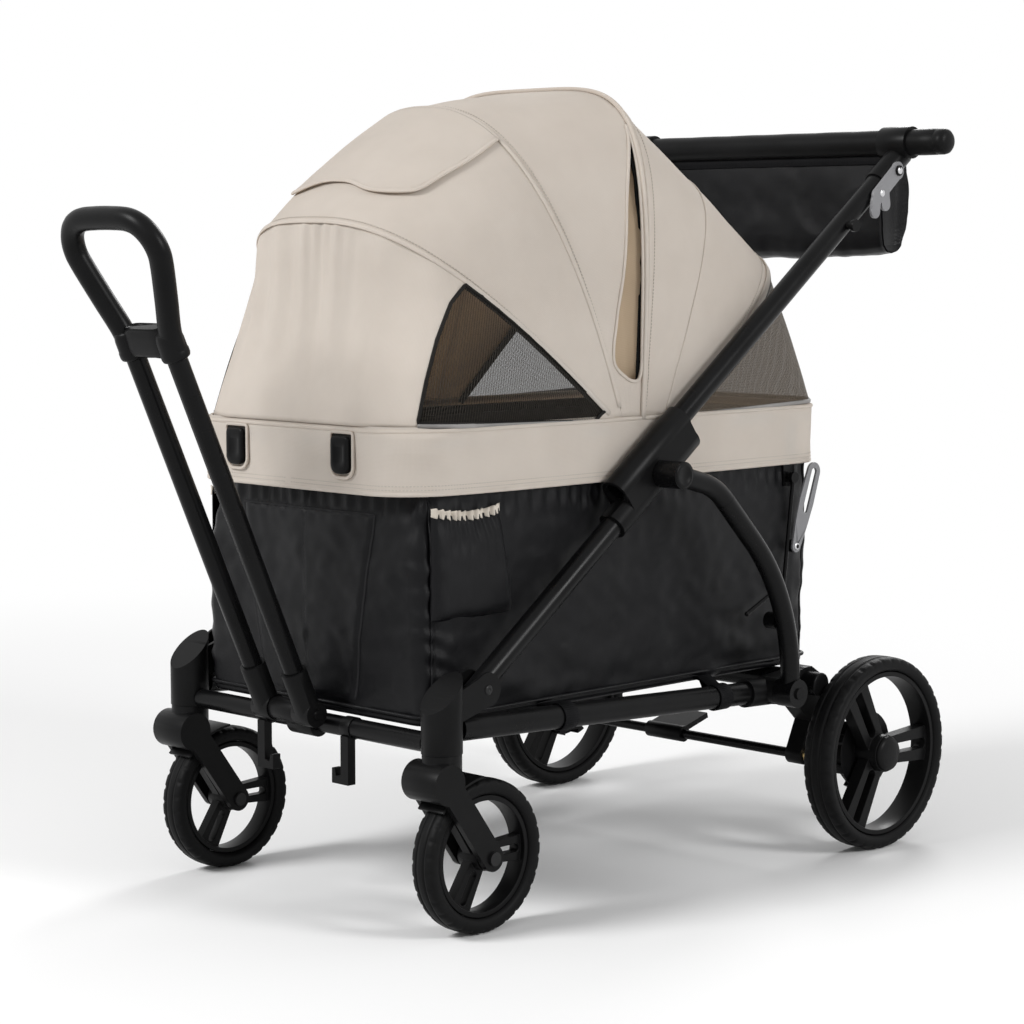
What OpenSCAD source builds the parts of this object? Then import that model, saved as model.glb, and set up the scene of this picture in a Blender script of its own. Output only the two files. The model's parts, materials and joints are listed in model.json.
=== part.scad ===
// Folding stroller wagon: a fabric tub with a hood on a tube frame, two swivel castors in front,
// two large wheels behind, a pull handle in front and a push bar behind.
// Millimetres. Lengths run along Y with the front at -Y, X is the width, +Z is up, floor at Z = 0.
// Every module is drawn with Y measured from the rear axle; place() moves it to the part's origin.

/* [Wheels] */
// Diameter of the rear wheels
rear_wheel_d = 280; // [250:1:310]
// Width of the rear tyres
rear_wheel_w = 46; // [36:1:50]
// Distance between the middles of the rear wheels
rear_track = 642; // [636:1:700]
// Diameter of the front wheels
front_wheel_d = 200; // [180:1:206]
// Width of the front tyres
front_wheel_w = 38; // [30:1:44]
// Distance between the two castor axes
front_track = 508; // [504:1:540]
// Distance from the rear axle forward to the castor axes
wheelbase = 802; // [780:1:840]
// Distance that the front wheels trail behind their castor axes
trail = 61; // [50:1:70]
// Depth of a tyre between its tread and its rim
tyre_depth = 21; // [16:1:26]
// Diameter of the rear axles
rear_axle_d = 12; // [10:1:14]
// Diameter of the front axles
front_axle_d = 10; // [8:1:12]

/* [Castors] */
// Outer diameter of a castor housing
hub_d = 53; // [48:1:54]
// Height of the lower face of a castor housing
hub_bottom = 240; // [238:1:246]
// Height of a castor housing from its lower face
hub_h = 100; // [90:1:110]
// Diameter of the castor stem
stem_d = 16; // [14:1:20]
// Diameter of the barrel at the head of the fork
barrel_d = 52; // [46:1:54]
// Distance of the barrel in front of the castor axis
barrel_ahead = 15; // [12:1:18]
// Thickness of a fork arm
arm_t = 9; // [7:1:11]
// Width of a fork arm
arm_w = 34; // [28:1:38]

/* [Lower frame] */
// Diameter of the two side tubes
side_tube_d = 32; // [28:1:34]
// Height of a side tube at its front end
side_front_z = 267; // [262:1:268]
// Height of a side tube at its rear end
side_rear_z = 242; // [240:1:246]
// Distance from the rear axle forward to the rear end of a side tube
side_rear_ahead = 176; // [170:1:190]
// Diameter of the front cross tube
front_cross_d = 26; // [22:1:28]
// Diameter of the rear cross tube
rear_cross_d = 34; // [30:1:36]
// Height of the rear cross tube
rear_cross_z = 246; // [244:1:247]
// Distance of the rear cross tube ahead of the rear axle
rear_cross_ahead = 91; // [85:1:96]
// Wall of the frame tubes
tube_wall = 2; // [1.5:0.5:3]

/* [Folding frame] */
// Diameter of the diagonal tubes and of the push tubes
diag_d = 30; // [27:1:31]
// Gap between a diagonal tube and the push tube above it
diag_gap = 1; // [1:1:3]
// Slope of the diagonal tubes
diag_angle = 36.8; // [35:0.1:38]
// Distance of the diagonal pivot behind the castor axis
pivot_back = 62; // [60:1:66]
// Height of the diagonal pivot
pivot_z = 315; // [313:1:320]
// Distance along the diagonal from its pivot to the lower end of the sleeve
sleeve_from = 312; // [300:1:320]
// Length of the sleeve that joins the diagonal and the push tube
sleeve_len = 188; // [180:1:196]
// Distance along the diagonal from its pivot to the push bar
push_reach = 1118; // [1090:1:1140]
// Rise of the push bar above the line of the push tube
push_rise = 15; // [12:1:18]
// Diameter of the push bar
push_bar_d = 38; // [34:1:40]
// Length of the push bar
push_bar_len = 690; // [670:1:710]
// Distance of the rear leg foot ahead of the rear axle
foot_ahead = 170; // [164:1:174]
// Height of the rear leg foot
foot_z = 245; // [243:1:249]
// Diameter of the rear legs
leg_d = 28; // [24:1:30]
// Distance between the middles of the rear legs
leg_track = 600; // [596:1:608]

/* [Tub] */
// Outer width of the tub
tub_w = 444; // [430:1:446]
// Outer length of the tub
tub_l = 772; // [750:1:780]
// Height of the underside of the tub
tub_bottom = 265; // [264:1:268]
// Thickness of the floor board
floor_t = 12; // [9:1:15]
// Thickness of the tub's walls
wall_t = 6; // [4:1:8]
// Radius of the tub's corners
tub_corner_r = 26; // [20:1:40]
// Height of the lower hem of the skirt
hem_z = 560; // [552:1:568]
// Height of the upper edge of the skirt
skirt_top = 639; // [634:1:642]
// Overhang of the skirt beyond the sides of the tub
skirt_out = 9; // [8:1:10]
// Overhang of the skirt beyond the front of the tub
skirt_front_out = 34; // [26:1:36]
// Overhang of the skirt beyond the rear of the tub
skirt_rear_out = 24; // [18:1:30]
// Radius of the skirt's rear corners
skirt_r = 56; // [50:1:64]
// Thickness of a layer of cloth
cloth_t = 4; // [3:1:4]

/* [Hood] */
// Height of the ridge above the skirt
ridge_rise = 446; // [420:1:460]
// Distance of the ridge bow's feet ahead of the rear axle
ridge_ahead = 405; // [400:1:410]
// Distance of the front bows' pivot ahead of the rear axle
front_pivot_ahead = 448; // [440:1:452]
// Distance of the rear bow's pivot ahead of the rear axle
rear_pivot_ahead = 312; // [306:1:320]
// Radius of the middle bow about its pivot
mid_bow_r = 442; // [420:1:446]
// Slope of the middle bow
mid_bow_angle = 70.5; // [66:0.5:74]
// Radius of the front bow about its pivot
front_bow_r = 440; // [420:1:446]
// Slope of the front bow
front_bow_angle = 37; // [34:0.5:40]
// Radius of the rear bow about its pivot
rear_bow_r = 326; // [300:1:336]
// Slope of the rear bow
rear_bow_angle = 43; // [40:0.5:46]
// Width of a hood bow's strip
bow_w = 10; // [8:1:14]
// Thickness of a hood bow's strip
bow_t = 4; // [3:1:5]

/* [Pull handle] */
// Lean of the pull handle from upright
pull_lean = 24; // [20:1:28]
// Distance of the pull handle's hinge ahead of the castor axes
pull_ahead = 36; // [34:1:40]
// Height of the pull handle's hinge
pull_z = 268; // [266:1:272]
// Distance from the hinge to the top of the grip loop
pull_len = 696; // [660:1:720]
// Distance between the two pull tubes
pull_gap = 83; // [78:1:90]
// Diameter of the pull tubes
pull_d = 26; // [22:1:27]
// Diameter of the bar of the grip loop
grip_d = 28; // [24:1:30]
// Outer width of the grip loop
grip_w = 196; // [180:1:210]

/* [Hidden] */
$fn = 48;
// Clearance of one piece beside another
gap = 0.4;
// Clearance of a pin turning in its bore, on the radius
run = 0.05;
// Clearance of a pin held in its bore, on the radius
hold = 0.02;
// Reach of a cut past the face that it opens
past = 1;
// A ball at a bend of a round bar is larger than the bar by this
ball_over = 0.8;

swivel_y = -wheelbase;
frame_x = front_track / 2;
rear_r = rear_wheel_d / 2;
front_r = front_wheel_d / 2;
front_wheel_y = swivel_y + trail;
wheel_in = rear_track / 2 - rear_wheel_w / 2;
// Reach of the brake drum on the inner side of a rear wheel
drum_w = 12;
hub_top = hub_bottom + hub_h;
barrel_z = hub_bottom - 9 - barrel_d / 2;
barrel_y = swivel_y - barrel_ahead;
pivot_y = swivel_y + pivot_back;
push_lift = diag_d + diag_gap;
bar_lift = push_lift + push_rise;
foot_y = -foot_ahead;
leg_x = leg_track / 2;
tub_front = swivel_y + 2;
tub_rear = tub_front + tub_l;
tub_x = tub_w / 2;
floor_top = tub_bottom + floor_t;
skirt_x = tub_x + skirt_out;
skirt_front = tub_front - skirt_front_out;
skirt_rear = tub_rear + skirt_rear_out;
// The skirt's front corners are as round as the tub's corners inside them allow.
skirt_corner_gap = 2.5;
corner_in = cloth_t + skirt_corner_gap;
corner_lead = skirt_out + skirt_front_out - corner_in;
corner_square = corner_lead ^ 2 - skirt_out ^ 2 - skirt_front_out ^ 2 + corner_in ^ 2;
skirt_front_r = tub_corner_r + corner_lead + sqrt(corner_square);
rim_h = 12;
rim_top = skirt_top - cloth_t - 1;
rim_bottom = rim_top - rim_h;
wall_top = rim_bottom - 0.3;
// Wall of the clamps on the front cross tube, which passes close below the tub's floor
clamp_wall = 1.6;
front_cross_z = tub_bottom - gap - clamp_wall - front_cross_d / 2;
pull_y = swivel_y - pull_ahead;

// Point of the folding frame: s along the diagonal from its pivot, t square to it.
function on_diag(s, t) = [
  pivot_y + s * cos(diag_angle) - t * sin(diag_angle),
  pivot_z + s * sin(diag_angle) + t * cos(diag_angle)
];
bar_at = on_diag(push_reach, bar_lift);
joint_bar_d = push_bar_d + 9;

// Reach of the object before and behind the rear axle, so that the origin is midway.
front_reach = -pull_y + pull_len * sin(pull_lean) + (grip_d + ball_over) / 2;
// Reach of the storage bag behind the middle of the push bar
bag_behind = 56;
rear_reach = bar_at[0] + bag_behind;
axle_y = (front_reach - rear_reach) / 2;

black = [0.11, 0.11, 0.12];
frame_black = [0.07, 0.07, 0.075];
cloth_black = [0.09, 0.09, 0.1];
cream = [0.8, 0.77, 0.72];
grey = [0.52, 0.52, 0.53];
steel = [0.7, 0.7, 0.72];
mesh_brown = [0.2, 0.17, 0.14];

// Moves a piece from the rear axle's frame to the part's origin.
module place() { translate([0, axle_y, 0]) children(); }

// Draws the children on the left, +X, or on the right, or on both sides.
module left() { children(); }
module right() { mirror([1, 0, 0]) children(); }
module both() {
  left() children();
  right() children();
}

// Round bar from p to q.
module rod(p, q, d) {
  v = q - p;
  len = norm(v);
  translate(p)
    rotate([0, acos(v[2] / len), atan2(v[1], v[0])])
      cylinder(h = len, d = d);
}

// Round tube from p to q with open ends.
module pipe(p, q, d, wall = tube_wall) {
  v = (q - p) / norm(q - p);
  difference() {
    rod(p, q, d);
    rod(p - past * v, q + past * v, d - 2 * wall);
  }
}

// Bar along X at (y, z) from x0 to x1.
module xbar(x0, x1, y, z, d) {
  translate([x0, y, z]) rotate([0, 90, 0]) cylinder(h = x1 - x0, d = d);
}

// Plate from a 2-D outline drawn in (y, z), from x0 to x1.
module side_plate(x0, x1) {
  translate([x0, 0, 0]) rotate([90, 0, 90]) linear_extrude(x1 - x0) children();
}

// A web between two rounds stops this far inside their ends.
web_in = 1;

// Straight bar with round ends in 2-D. Its sides stay a hair inside the rounds, so that they cross them.
side_in = 0.1;
module slot_2d(p, q, w) {
  v = q - p;
  translate(p) circle(d = w);
  translate(q) circle(d = w);
  translate(p) rotate(atan2(v[1], v[0]))
    translate([0, -w / 2 + side_in]) square([norm(v), w - 2 * side_in]);
}

// Rounded rectangle from (x0, y0) to (x1, y1).
module round_rect(x0, y0, x1, y1, r) {
  translate([x0 + r, y0]) square([x1 - x0 - 2 * r, y1 - y0]);
  translate([x0, y0 + r]) square([x1 - x0, y1 - y0 - 2 * r]);
  for (x = [x0 + r, x1 - r], y = [y0 + r, y1 - r]) translate([x, y]) circle(r);
}

// Closed slab between two grids of points of the same size: rows of the outer and the inner face.
module slab(outer, inner) {
  rows = len(outer);
  cols = len(outer[0]);
  total = rows * cols;
  points = concat([for (r = outer) each r], [for (r = inner) each r]);
  quads = concat(
    [for (i = [0 : rows - 2], j = [0 : cols - 2])
      [i * cols + j, i * cols + j + 1, (i + 1) * cols + j + 1, (i + 1) * cols + j]],
    [for (i = [0 : rows - 2], j = [0 : cols - 2])
      [total + i * cols + j, total + (i + 1) * cols + j,
       total + (i + 1) * cols + j + 1, total + i * cols + j + 1]],
    [for (j = [0 : cols - 2]) [j, total + j, total + j + 1, j + 1]],
    [for (j = [0 : cols - 2]) let (k = (rows - 1) * cols + j) [k, k + 1, total + k + 1, total + k]],
    [for (i = [0 : rows - 2]) let (k = i * cols) [k, k + cols, total + k + cols, total + k]],
    [for (i = [0 : rows - 2]) let (k = i * cols + cols - 1) [k, total + k, total + k + cols, k + cols]]
  );
  polyhedron(points, [for (q = quads) each [[q[0], q[2], q[1]], [q[0], q[3], q[2]]]]);
}

// Lower frame

// Castor housing with a rear fork of two cheeks that holds the diagonal's pivot pin.
cheek_in = diag_d / 2 + gap;
cheek_t = 5;
cheek_r = 22;
pivot_pin_d = 12;
stem_depth = 54;
cap_drop = 48;
cap_slope = atan(cap_drop / hub_d);
module hub() {
  color(black) difference() {
    union() {
      difference() {
        translate([frame_x, swivel_y, hub_bottom]) cylinder(h = hub_h, d = hub_d);
        translate([frame_x - hub_d, swivel_y - hub_d / 2, hub_top - cap_drop]) rotate([cap_slope, 0, 0])
          translate([0, -hub_d, 0]) cube([2 * hub_d, 4 * hub_d, hub_h]);
      }
      for (s = [-1, 1]) {
        x = frame_x + s * (cheek_in + cheek_t / 2);
        side_plate(x - cheek_t / 2, x + cheek_t / 2) cheek_2d();
      }
      xbar(frame_x - cheek_in - cheek_t, frame_x + cheek_in + cheek_t, pivot_y, pivot_z, pivot_pin_d);
    }
    translate([frame_x, swivel_y, hub_bottom - past]) cylinder(h = stem_depth + past, d = stem_d + 2 * run);
  }
}
module cheek_2d() {
  translate([pivot_y, pivot_z]) circle(cheek_r);
  polygon([
    [swivel_y, pivot_z - cheek_r - 18],
    [pivot_y, pivot_z - cheek_r],
    [pivot_y, pivot_z + cheek_r],
    [swivel_y, hub_top - cap_drop / 2 - 2]
  ]);
}
module hub_left() { left() hub(); }
module hub_right() { right() hub(); }

cross_end = frame_x - hub_d / 2 - gap;
module front_cross_tube() {
  color(frame_black)
    pipe([-cross_end, swivel_y, front_cross_z], [cross_end, swivel_y, front_cross_z], front_cross_d);
}

side_slope = (side_front_z - side_rear_z) / (wheelbase - side_rear_ahead);
side_front_y = swivel_y + hub_d / 2 + gap + side_slope * side_tube_d / 2;
side_p = [frame_x, side_front_y, side_front_z];
side_q = [frame_x, -side_rear_ahead, side_rear_z];
module side_tubes() {
  color(frame_black) both() pipe(side_p, side_q, side_tube_d);
}

// Rear bracket: socket for the side tube, foot pin for the rear leg, arm down to the axle.
bracket_in = 14;
bracket_cover = 40;
foot_boss_d = 36;
foot_pin_d = 16;
foot_eye_w = leg_d + 4;
// The bracket's plate stays this far from the brake drum
drum_clear = 3;
plate_x = min(frame_x, wheel_in - drum_w - drum_clear - bracket_in);
module rear_bracket() {
  along = (side_q - side_p) / norm(side_q - side_p);
  plate_x0 = plate_x - bracket_in;
  plate_x1 = plate_x + bracket_in;
  eye_x0 = leg_x - foot_eye_w / 2;
  difference() {
    union() {
      rod(side_q - bracket_cover * along, side_q + 12 * along, side_tube_d + 8);
      side_plate(plate_x0, plate_x1) bracket_2d();
      xbar(plate_x, eye_x0 - gap, foot_y, foot_z, foot_boss_d);
      xbar(eye_x0 - 1, leg_x + foot_eye_w / 2 + 3, foot_y, foot_z, foot_pin_d);
    }
    rod(side_q - (bracket_cover + past) * along, side_q + gap * along, side_tube_d + 2 * hold);
    xbar(plate_x0 - past, plate_x1 + past, -rear_cross_ahead, rear_cross_z, rear_cross_d + 2 * hold);
    xbar(plate_x0 - past, plate_x1 + past, 0, rear_r, rear_axle_d + 2 * hold);
    xbar(plate_x0 - past, plate_x1 + past, brake_y, brake_z, brake_d + 2 * run);
  }
}
// Reach of the brake bar's hanger from the bar up to the bracket
hanger_y = 26;
hanger_z = 56;
module bracket_2d() {
  polygon([
    [foot_y - 10, side_rear_z - side_tube_d / 2],
    [foot_y - 10, side_rear_z + side_tube_d / 2],
    [-rear_cross_ahead + 10, rear_cross_z + rear_cross_d / 2 + 6],
    [-rear_cross_ahead + 34, rear_cross_z + 8],
    [20, rear_r + 8],
    [14, rear_r - 16],
    [-16, rear_r - 14],
    [-rear_cross_ahead - 22, rear_cross_z - 30]
  ]);
  translate([0, rear_r]) circle(22);
  translate([-rear_cross_ahead, rear_cross_z]) circle(d = rear_cross_d + 12);
  slot_2d([brake_y, brake_z], [brake_y + hanger_y, brake_z + hanger_z], brake_d + 14);
}
module rear_brackets() { color(black) both() rear_bracket(); }

rear_cross_end = wheel_in - 6;
module rear_cross_tube() {
  color(frame_black)
    pipe([-rear_cross_end, -rear_cross_ahead, rear_cross_z],
      [rear_cross_end, -rear_cross_ahead, rear_cross_z], rear_cross_d);
}

axle_head_t = 4;
module rear_axles() {
  head_x = rear_track / 2 + rear_wheel_w / 2 + gap;
  inner_x = plate_x - bracket_in - 6;
  color(steel) both() {
    xbar(inner_x, head_x, 0, rear_r, rear_axle_d);
    xbar(head_x, head_x + axle_head_t, 0, rear_r, rear_axle_d + 10);
  }
}

// Webbing loops tie the floor board to the side tubes.
loop_w = 26;
loop_t = 2;
loop_at = [0.32, 0.84];
module webbing_loops() {
  color(cloth_black) both() for (f = loop_at) {
    c = side_p + f * (side_q - side_p);
    difference() {
      union() {
        translate([c[0], c[1] - loop_w / 2, c[2]]) rotate([-90, 0, 0])
          cylinder(h = loop_w, d = side_tube_d + 2 * loop_t + 2);
        translate([tub_x - wall_t + gap, c[1] - loop_w / 2, tub_bottom - loop_t - gap])
          cube([c[0] - tub_x + wall_t, loop_w, loop_t]);
      }
      pipe_cut = (side_q - side_p) / norm(side_q - side_p);
      rod(c - 2 * loop_w * pipe_cut, c + 2 * loop_w * pipe_cut, side_tube_d + gap);
    }
  }
}

// Tub

tub_in = tub_x - wall_t;
module tub_floor() {
  color(cloth_black) translate([0, 0, tub_bottom]) linear_extrude(floor_t)
    round_rect(-tub_x, tub_front, tub_x, tub_rear, tub_corner_r);
}
module tub_ring() {
  translate([0, 0, floor_top]) linear_extrude(wall_top - floor_top) difference() {
    round_rect(-tub_x, tub_front, tub_x, tub_rear, tub_corner_r);
    round_rect(-tub_in, tub_front + wall_t, tub_in, tub_rear - wall_t, tub_corner_r - wall_t);
  }
}
module tub_part(x0, y0, x1, y1) {
  color(cloth_black) intersection() {
    tub_ring();
    translate([x0, y0, floor_top - past]) cube([x1 - x0, y1 - y0, wall_top - floor_top + 2 * past]);
  }
}
module tub_front_wall() { tub_part(-tub_x, tub_front - past, tub_x, tub_front + tub_corner_r); }
module tub_rear_wall() { tub_part(-tub_x, tub_rear - tub_corner_r, tub_x, tub_rear + past); }
module tub_left_wall() { tub_part(0, tub_front + tub_corner_r, tub_x, tub_rear - tub_corner_r); }
module tub_right_wall() { tub_part(-tub_x, tub_front + tub_corner_r, 0, tub_rear - tub_corner_r); }

// Open pocket on each side wall near the front.
pocket_l = 122;
pocket_h = 136;
pocket_d = 9;
pocket_wall = 2;
pocket_back = tub_corner_r + 6;
pocket_drop = 158;
pocket_z = hem_z - pocket_drop;
module side_pockets() {
  color(cloth_black) both()
    translate([tub_x, tub_front + pocket_back, pocket_z]) difference() {
      translate([gap, 0, 0]) cube([pocket_d, pocket_l, pocket_h]);
      translate([-past, pocket_wall, pocket_wall])
        cube([pocket_d + gap + past - pocket_wall, pocket_l - 2 * pocket_wall, pocket_h]);
    }
}

// Cushion of size [w, l, t]: crowned on top, its sides drawn in between the corners.
function pad_edge(a) = 1 - pow(abs(a), 4);
function pad_row(w, l, t, i, n, top) = [
  for (j = [0 : n])
    let (a = 2 * i / n - 1, b = 2 * j / n - 1,
      draw_a = 1 - 0.035 * (1 - b * b), draw_b = 1 - 0.035 * (1 - a * a),
      swell = pow(max(0, pad_edge(a) * pad_edge(b)), 0.5))
    [a * w / 2 * draw_b, b * l / 2 * draw_a, top ? t * (0.3 + 0.7 * swell) : t * 0.15 * (1 - swell)]
];
module pad(w, l, t) {
  n = 14;
  slab([for (i = [0 : n]) pad_row(w, l, t, i, n, true)], [for (i = [0 : n]) pad_row(w, l, t, i, n, false)]);
}

pad_w = 2 * tub_in - 22;
seat_l = 236;
seat_t = 58;
back_narrow = 60;
back_w = pad_w - back_narrow;
back_h = 250;
back_t = 34;
wall_gap = 1;
module seat_pads() {
  inset = wall_t + back_t + 4;
  color(cloth_black) for (y = [tub_front + inset + seat_l / 2, tub_rear - inset - seat_l / 2])
    translate([0, y, floor_top + 0.3]) pad(pad_w, seat_l, seat_t);
}
module back_pads() {
  z = floor_top + 3 + back_h / 2;
  color(cloth_black) {
    translate([0, tub_front + wall_t + 0.3, z]) rotate([-90, 0, 0]) pad(back_w, back_h, back_t);
    translate([0, tub_rear - wall_t - 0.3, z]) rotate([90, 0, 0]) pad(back_w, back_h, back_t);
  }
}

// Rim and skirt

stay_plate_w = 24;
stay_d = 6;
stay_pin_ahead = 59;
stay_pin_y = tub_rear - stay_pin_ahead;
stay_pin_drop = 20;
stay_pin_z = hem_z - stay_pin_drop;
stay_pin_d = 6;
// The stay swings up beside the skirt, and the diagonal comes down beside the stay
stay_x = skirt_x + (stay_d + ball_over) / 2 + gap;
stay_boss = stay_d + 1;
module rim_frame() {
  color(frame_black) {
    translate([0, 0, rim_bottom]) linear_extrude(rim_h) difference() {
      skirt_outline(cloth_t + gap);
      skirt_outline(cloth_t + gap + rim_h);
    }
    both() {
      translate([0, 0, stay_pin_z - stay_plate_w / 2])
        linear_extrude(rim_bottom + 1 - stay_pin_z + stay_plate_w / 2) intersection() {
          difference() {
            skirt_outline(cloth_t + gap);
            round_rect(-tub_x - gap, tub_front - gap, tub_x + gap, tub_rear + gap, tub_corner_r + gap);
          }
          translate([tub_x / 2, stay_pin_y - stay_plate_w / 2]) square([tub_x, stay_plate_w]);
        }
      xbar(tub_x + gap, stay_x + stay_boss / 2, stay_pin_y, stay_pin_z, stay_pin_d);
    }
  }
}
module skirt_outline(inset) {
  front_x = skirt_x - skirt_front_r;
  rear_x = skirt_x - skirt_r;
  front_y = skirt_front + skirt_front_r;
  rear_y = skirt_rear - skirt_r;
  translate([-front_x, skirt_front + inset]) square([2 * front_x, skirt_front_r]);
  translate([-rear_x, rear_y - inset]) square([2 * rear_x, skirt_r]);
  translate([-skirt_x + inset, front_y]) square([2 * (skirt_x - inset), rear_y - front_y]);
  for (side = [-1, 1]) {
    translate([side * front_x, front_y]) circle(skirt_front_r - inset);
    translate([side * rear_x, rear_y]) circle(skirt_r - inset);
  }
}
module skirt() {
  color(cream) translate([0, 0, hem_z]) linear_extrude(skirt_top - hem_z) difference() {
    skirt_outline(0);
    skirt_outline(cloth_t);
  }
}

// Rear stays with their fold latches

stay_elbow_ahead = 19;
stay_elbow_drop = 152;
stay_end_ahead = 101;
stay_end_drop = 188;
stay_elbow = [stay_pin_y - stay_elbow_ahead, stay_pin_z - stay_elbow_drop];
stay_end = [stay_pin_y - stay_end_ahead, stay_pin_z - stay_end_drop];
latch_drop = 99;
latch_at = [stay_pin_y, stay_pin_z - latch_drop];
latch_pin_d = 6;
latch_t = 4;
latch_x = stay_x + stay_boss / 2 + gap;
module stays() {
  color(frame_black) both() {
    difference() {
      union() {
        xbar(stay_x - stay_boss / 2, stay_x + stay_boss / 2, stay_pin_y, stay_pin_z, 16);
        rod([stay_x, stay_pin_y, stay_pin_z], [stay_x, stay_elbow[0], stay_elbow[1]], stay_d);
        rod([stay_x, stay_elbow[0], stay_elbow[1]], [stay_x, stay_end[0], stay_end[1]], stay_d);
        translate([stay_x, stay_elbow[0], stay_elbow[1]]) sphere(d = stay_d + ball_over);
        translate([stay_x, stay_end[0], stay_end[1]]) sphere(d = stay_d + ball_over);
        xbar(stay_x - stay_boss / 2, latch_x - gap, latch_at[0], latch_at[1], 18);
        xbar(stay_x, latch_x + latch_t + 2, latch_at[0], latch_at[1], latch_pin_d);
      }
      xbar(stay_x - stay_d, stay_x + stay_d, stay_pin_y, stay_pin_z, stay_pin_d + 2 * run);
    }
  }
}

latch_len = 112;
latch_lean = 20;
latch_foot_r = 9;
latch_tip_r = 14;
latch_belly = 17;
latch_slot_w = 11;
module latch() {
  color(grey) side_plate(latch_x, latch_x + latch_t)
    translate(latch_at) rotate(-latch_lean) difference() {
      union() {
        circle(latch_foot_r);
        translate([0, latch_len]) circle(latch_tip_r);
        polygon([
          [-latch_foot_r + side_in, 0],
          [latch_foot_r - side_in, 0],
          [latch_belly * 0.75, latch_len * 0.3],
          [latch_belly * 0.9, latch_len * 0.6],
          [latch_tip_r - side_in, latch_len],
          [-latch_tip_r + side_in, latch_len],
          [-latch_belly, latch_len * 0.6],
          [-latch_belly * 0.85, latch_len * 0.3]
        ]);
      }
      circle(d = latch_pin_d + 2 * run);
      slot_2d([0, latch_len * 0.5], [0, latch_len], latch_slot_w);
    }
}
module latch_left() { left() latch(); }
module latch_right() { right() latch(); }

// Castor forks and wheels

arm_in = front_wheel_w / 2 + 3;
module fork() {
  axle = [front_wheel_y, front_r];
  head = [barrel_y, barrel_z];
  guard_r = front_r + 4;
  guard_t = 3;
  color(black) difference() {
    union() {
      translate([frame_x, swivel_y, barrel_z]) {
        cylinder(h = hub_bottom + stem_depth - 4 - barrel_z, d = stem_d);
        cylinder(h = hub_bottom - gap - barrel_z, d = hub_d - 2);
      }
      xbar(frame_x - arm_in - arm_t, frame_x + arm_in + arm_t, barrel_y, barrel_z, barrel_d);
      for (s = [-1, 1]) {
        x = frame_x + s * (arm_in + arm_t / 2);
        side_plate(x - arm_t / 2, x + arm_t / 2) slot_2d(head, axle, arm_w);
      }
      side_plate(frame_x - arm_in - 1, frame_x + arm_in + 1) intersection() {
        difference() {
          translate(axle) circle(guard_r + guard_t);
          translate(axle) circle(guard_r);
        }
        translate(axle)
          polygon([
            [0, 0],
            [-2 * front_r, 1.7 * front_r],
            [-front_r, 3 * front_r],
            [-front_r / 4, 3 * front_r]
          ]);
      }
    }
    side_plate(frame_x - arm_in, frame_x + arm_in) translate(axle) circle(guard_r - gap);
    xbar(frame_x - 2 * arm_in, frame_x + 2 * arm_in, axle[0], axle[1], front_axle_d + 2 * hold);
  }
}
module fork_left() { left() fork(); }
module fork_right() { right() fork(); }

module front_axle() {
  x0 = frame_x - arm_in - arm_t;
  x1 = frame_x + arm_in + arm_t;
  color(steel) {
    xbar(x0, x1, front_wheel_y, front_r, front_axle_d);
    xbar(x0 - axle_head_t, x0 - gap / 4, front_wheel_y, front_r, front_axle_d + 8);
    xbar(x1 + gap / 4, x1 + axle_head_t, front_wheel_y, front_r, front_axle_d + 8);
    xbar(x0 - axle_head_t, x1 + axle_head_t, front_wheel_y, front_r, front_axle_d / 2);
  }
}
module front_axle_left() { left() front_axle(); }
module front_axle_right() { right() front_axle(); }

// Tyre of radius r and width w about the origin, with rounded shoulders.
bead_in = 3;
module tyre(r, w) {
  shoulder = tyre_depth * 0.48;
  rotate([0, 90, 0]) rotate_extrude($fn = 96) {
    translate([r - tyre_depth, -w / 2 + bead_in]) square([tyre_depth - shoulder, w - 2 * bead_in]);
    translate([r - tyre_depth, -w / 2 + shoulder]) square([tyre_depth, w - 2 * shoulder]);
    for (s = [-1, 1]) translate([r - shoulder, s * (w / 2 - shoulder)]) circle(shoulder);
  }
}

// Wheel body with a rim under the tyre and three double spokes round a bored hub.
seat_gap = 0.3;
spoke_count = 3;
module wheel_rim(r, w, bore_d, hub_r) {
  rim_r = r - tyre_depth - seat_gap;
  rim_t = 7;
  spoke_w = hub_r * 1.35;
  plate = w * 0.42;
  rotate([0, 90, 0]) difference() {
    union() {
      translate([0, 0, -w / 2 + 4]) cylinder(h = w - 8, r = rim_r, $fn = 96);
      translate([0, 0, -w / 2]) cylinder(h = w, r = hub_r);
    }
    difference() {
      translate([0, 0, -w / 2 - past]) cylinder(h = w + 2 * past, r = rim_r - rim_t, $fn = 96);
      translate([0, 0, -w / 2]) cylinder(h = w, r = hub_r);
      translate([0, 0, -plate / 2]) linear_extrude(plate) for (i = [0 : spoke_count - 1])
        rotate(i * 360 / spoke_count + 90) difference() {
          polygon([[0, -spoke_w / 2], [rim_r, -spoke_w * 0.72], [rim_r, spoke_w * 0.72], [0, spoke_w / 2]]);
          slot_2d([hub_r + 9, 0], [rim_r - rim_t - 9, 0], spoke_w * 0.42);
        }
    }
    translate([0, 0, -w]) cylinder(h = 2 * w, d = bore_d + 2 * run);
  }
}

module front_wheel_at() { translate([frame_x, front_wheel_y, front_r]) children(); }
module rear_wheel_at() { translate([rear_track / 2, 0, rear_r]) children(); }
module front_tyre() { color(black) front_wheel_at() tyre(front_r, front_wheel_w); }
module rear_tyre() { color(black) rear_wheel_at() tyre(rear_r, rear_wheel_w); }
module front_rim() {
  color(black) front_wheel_at() wheel_rim(front_r, front_wheel_w - 2, front_axle_d, 18);
}

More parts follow.
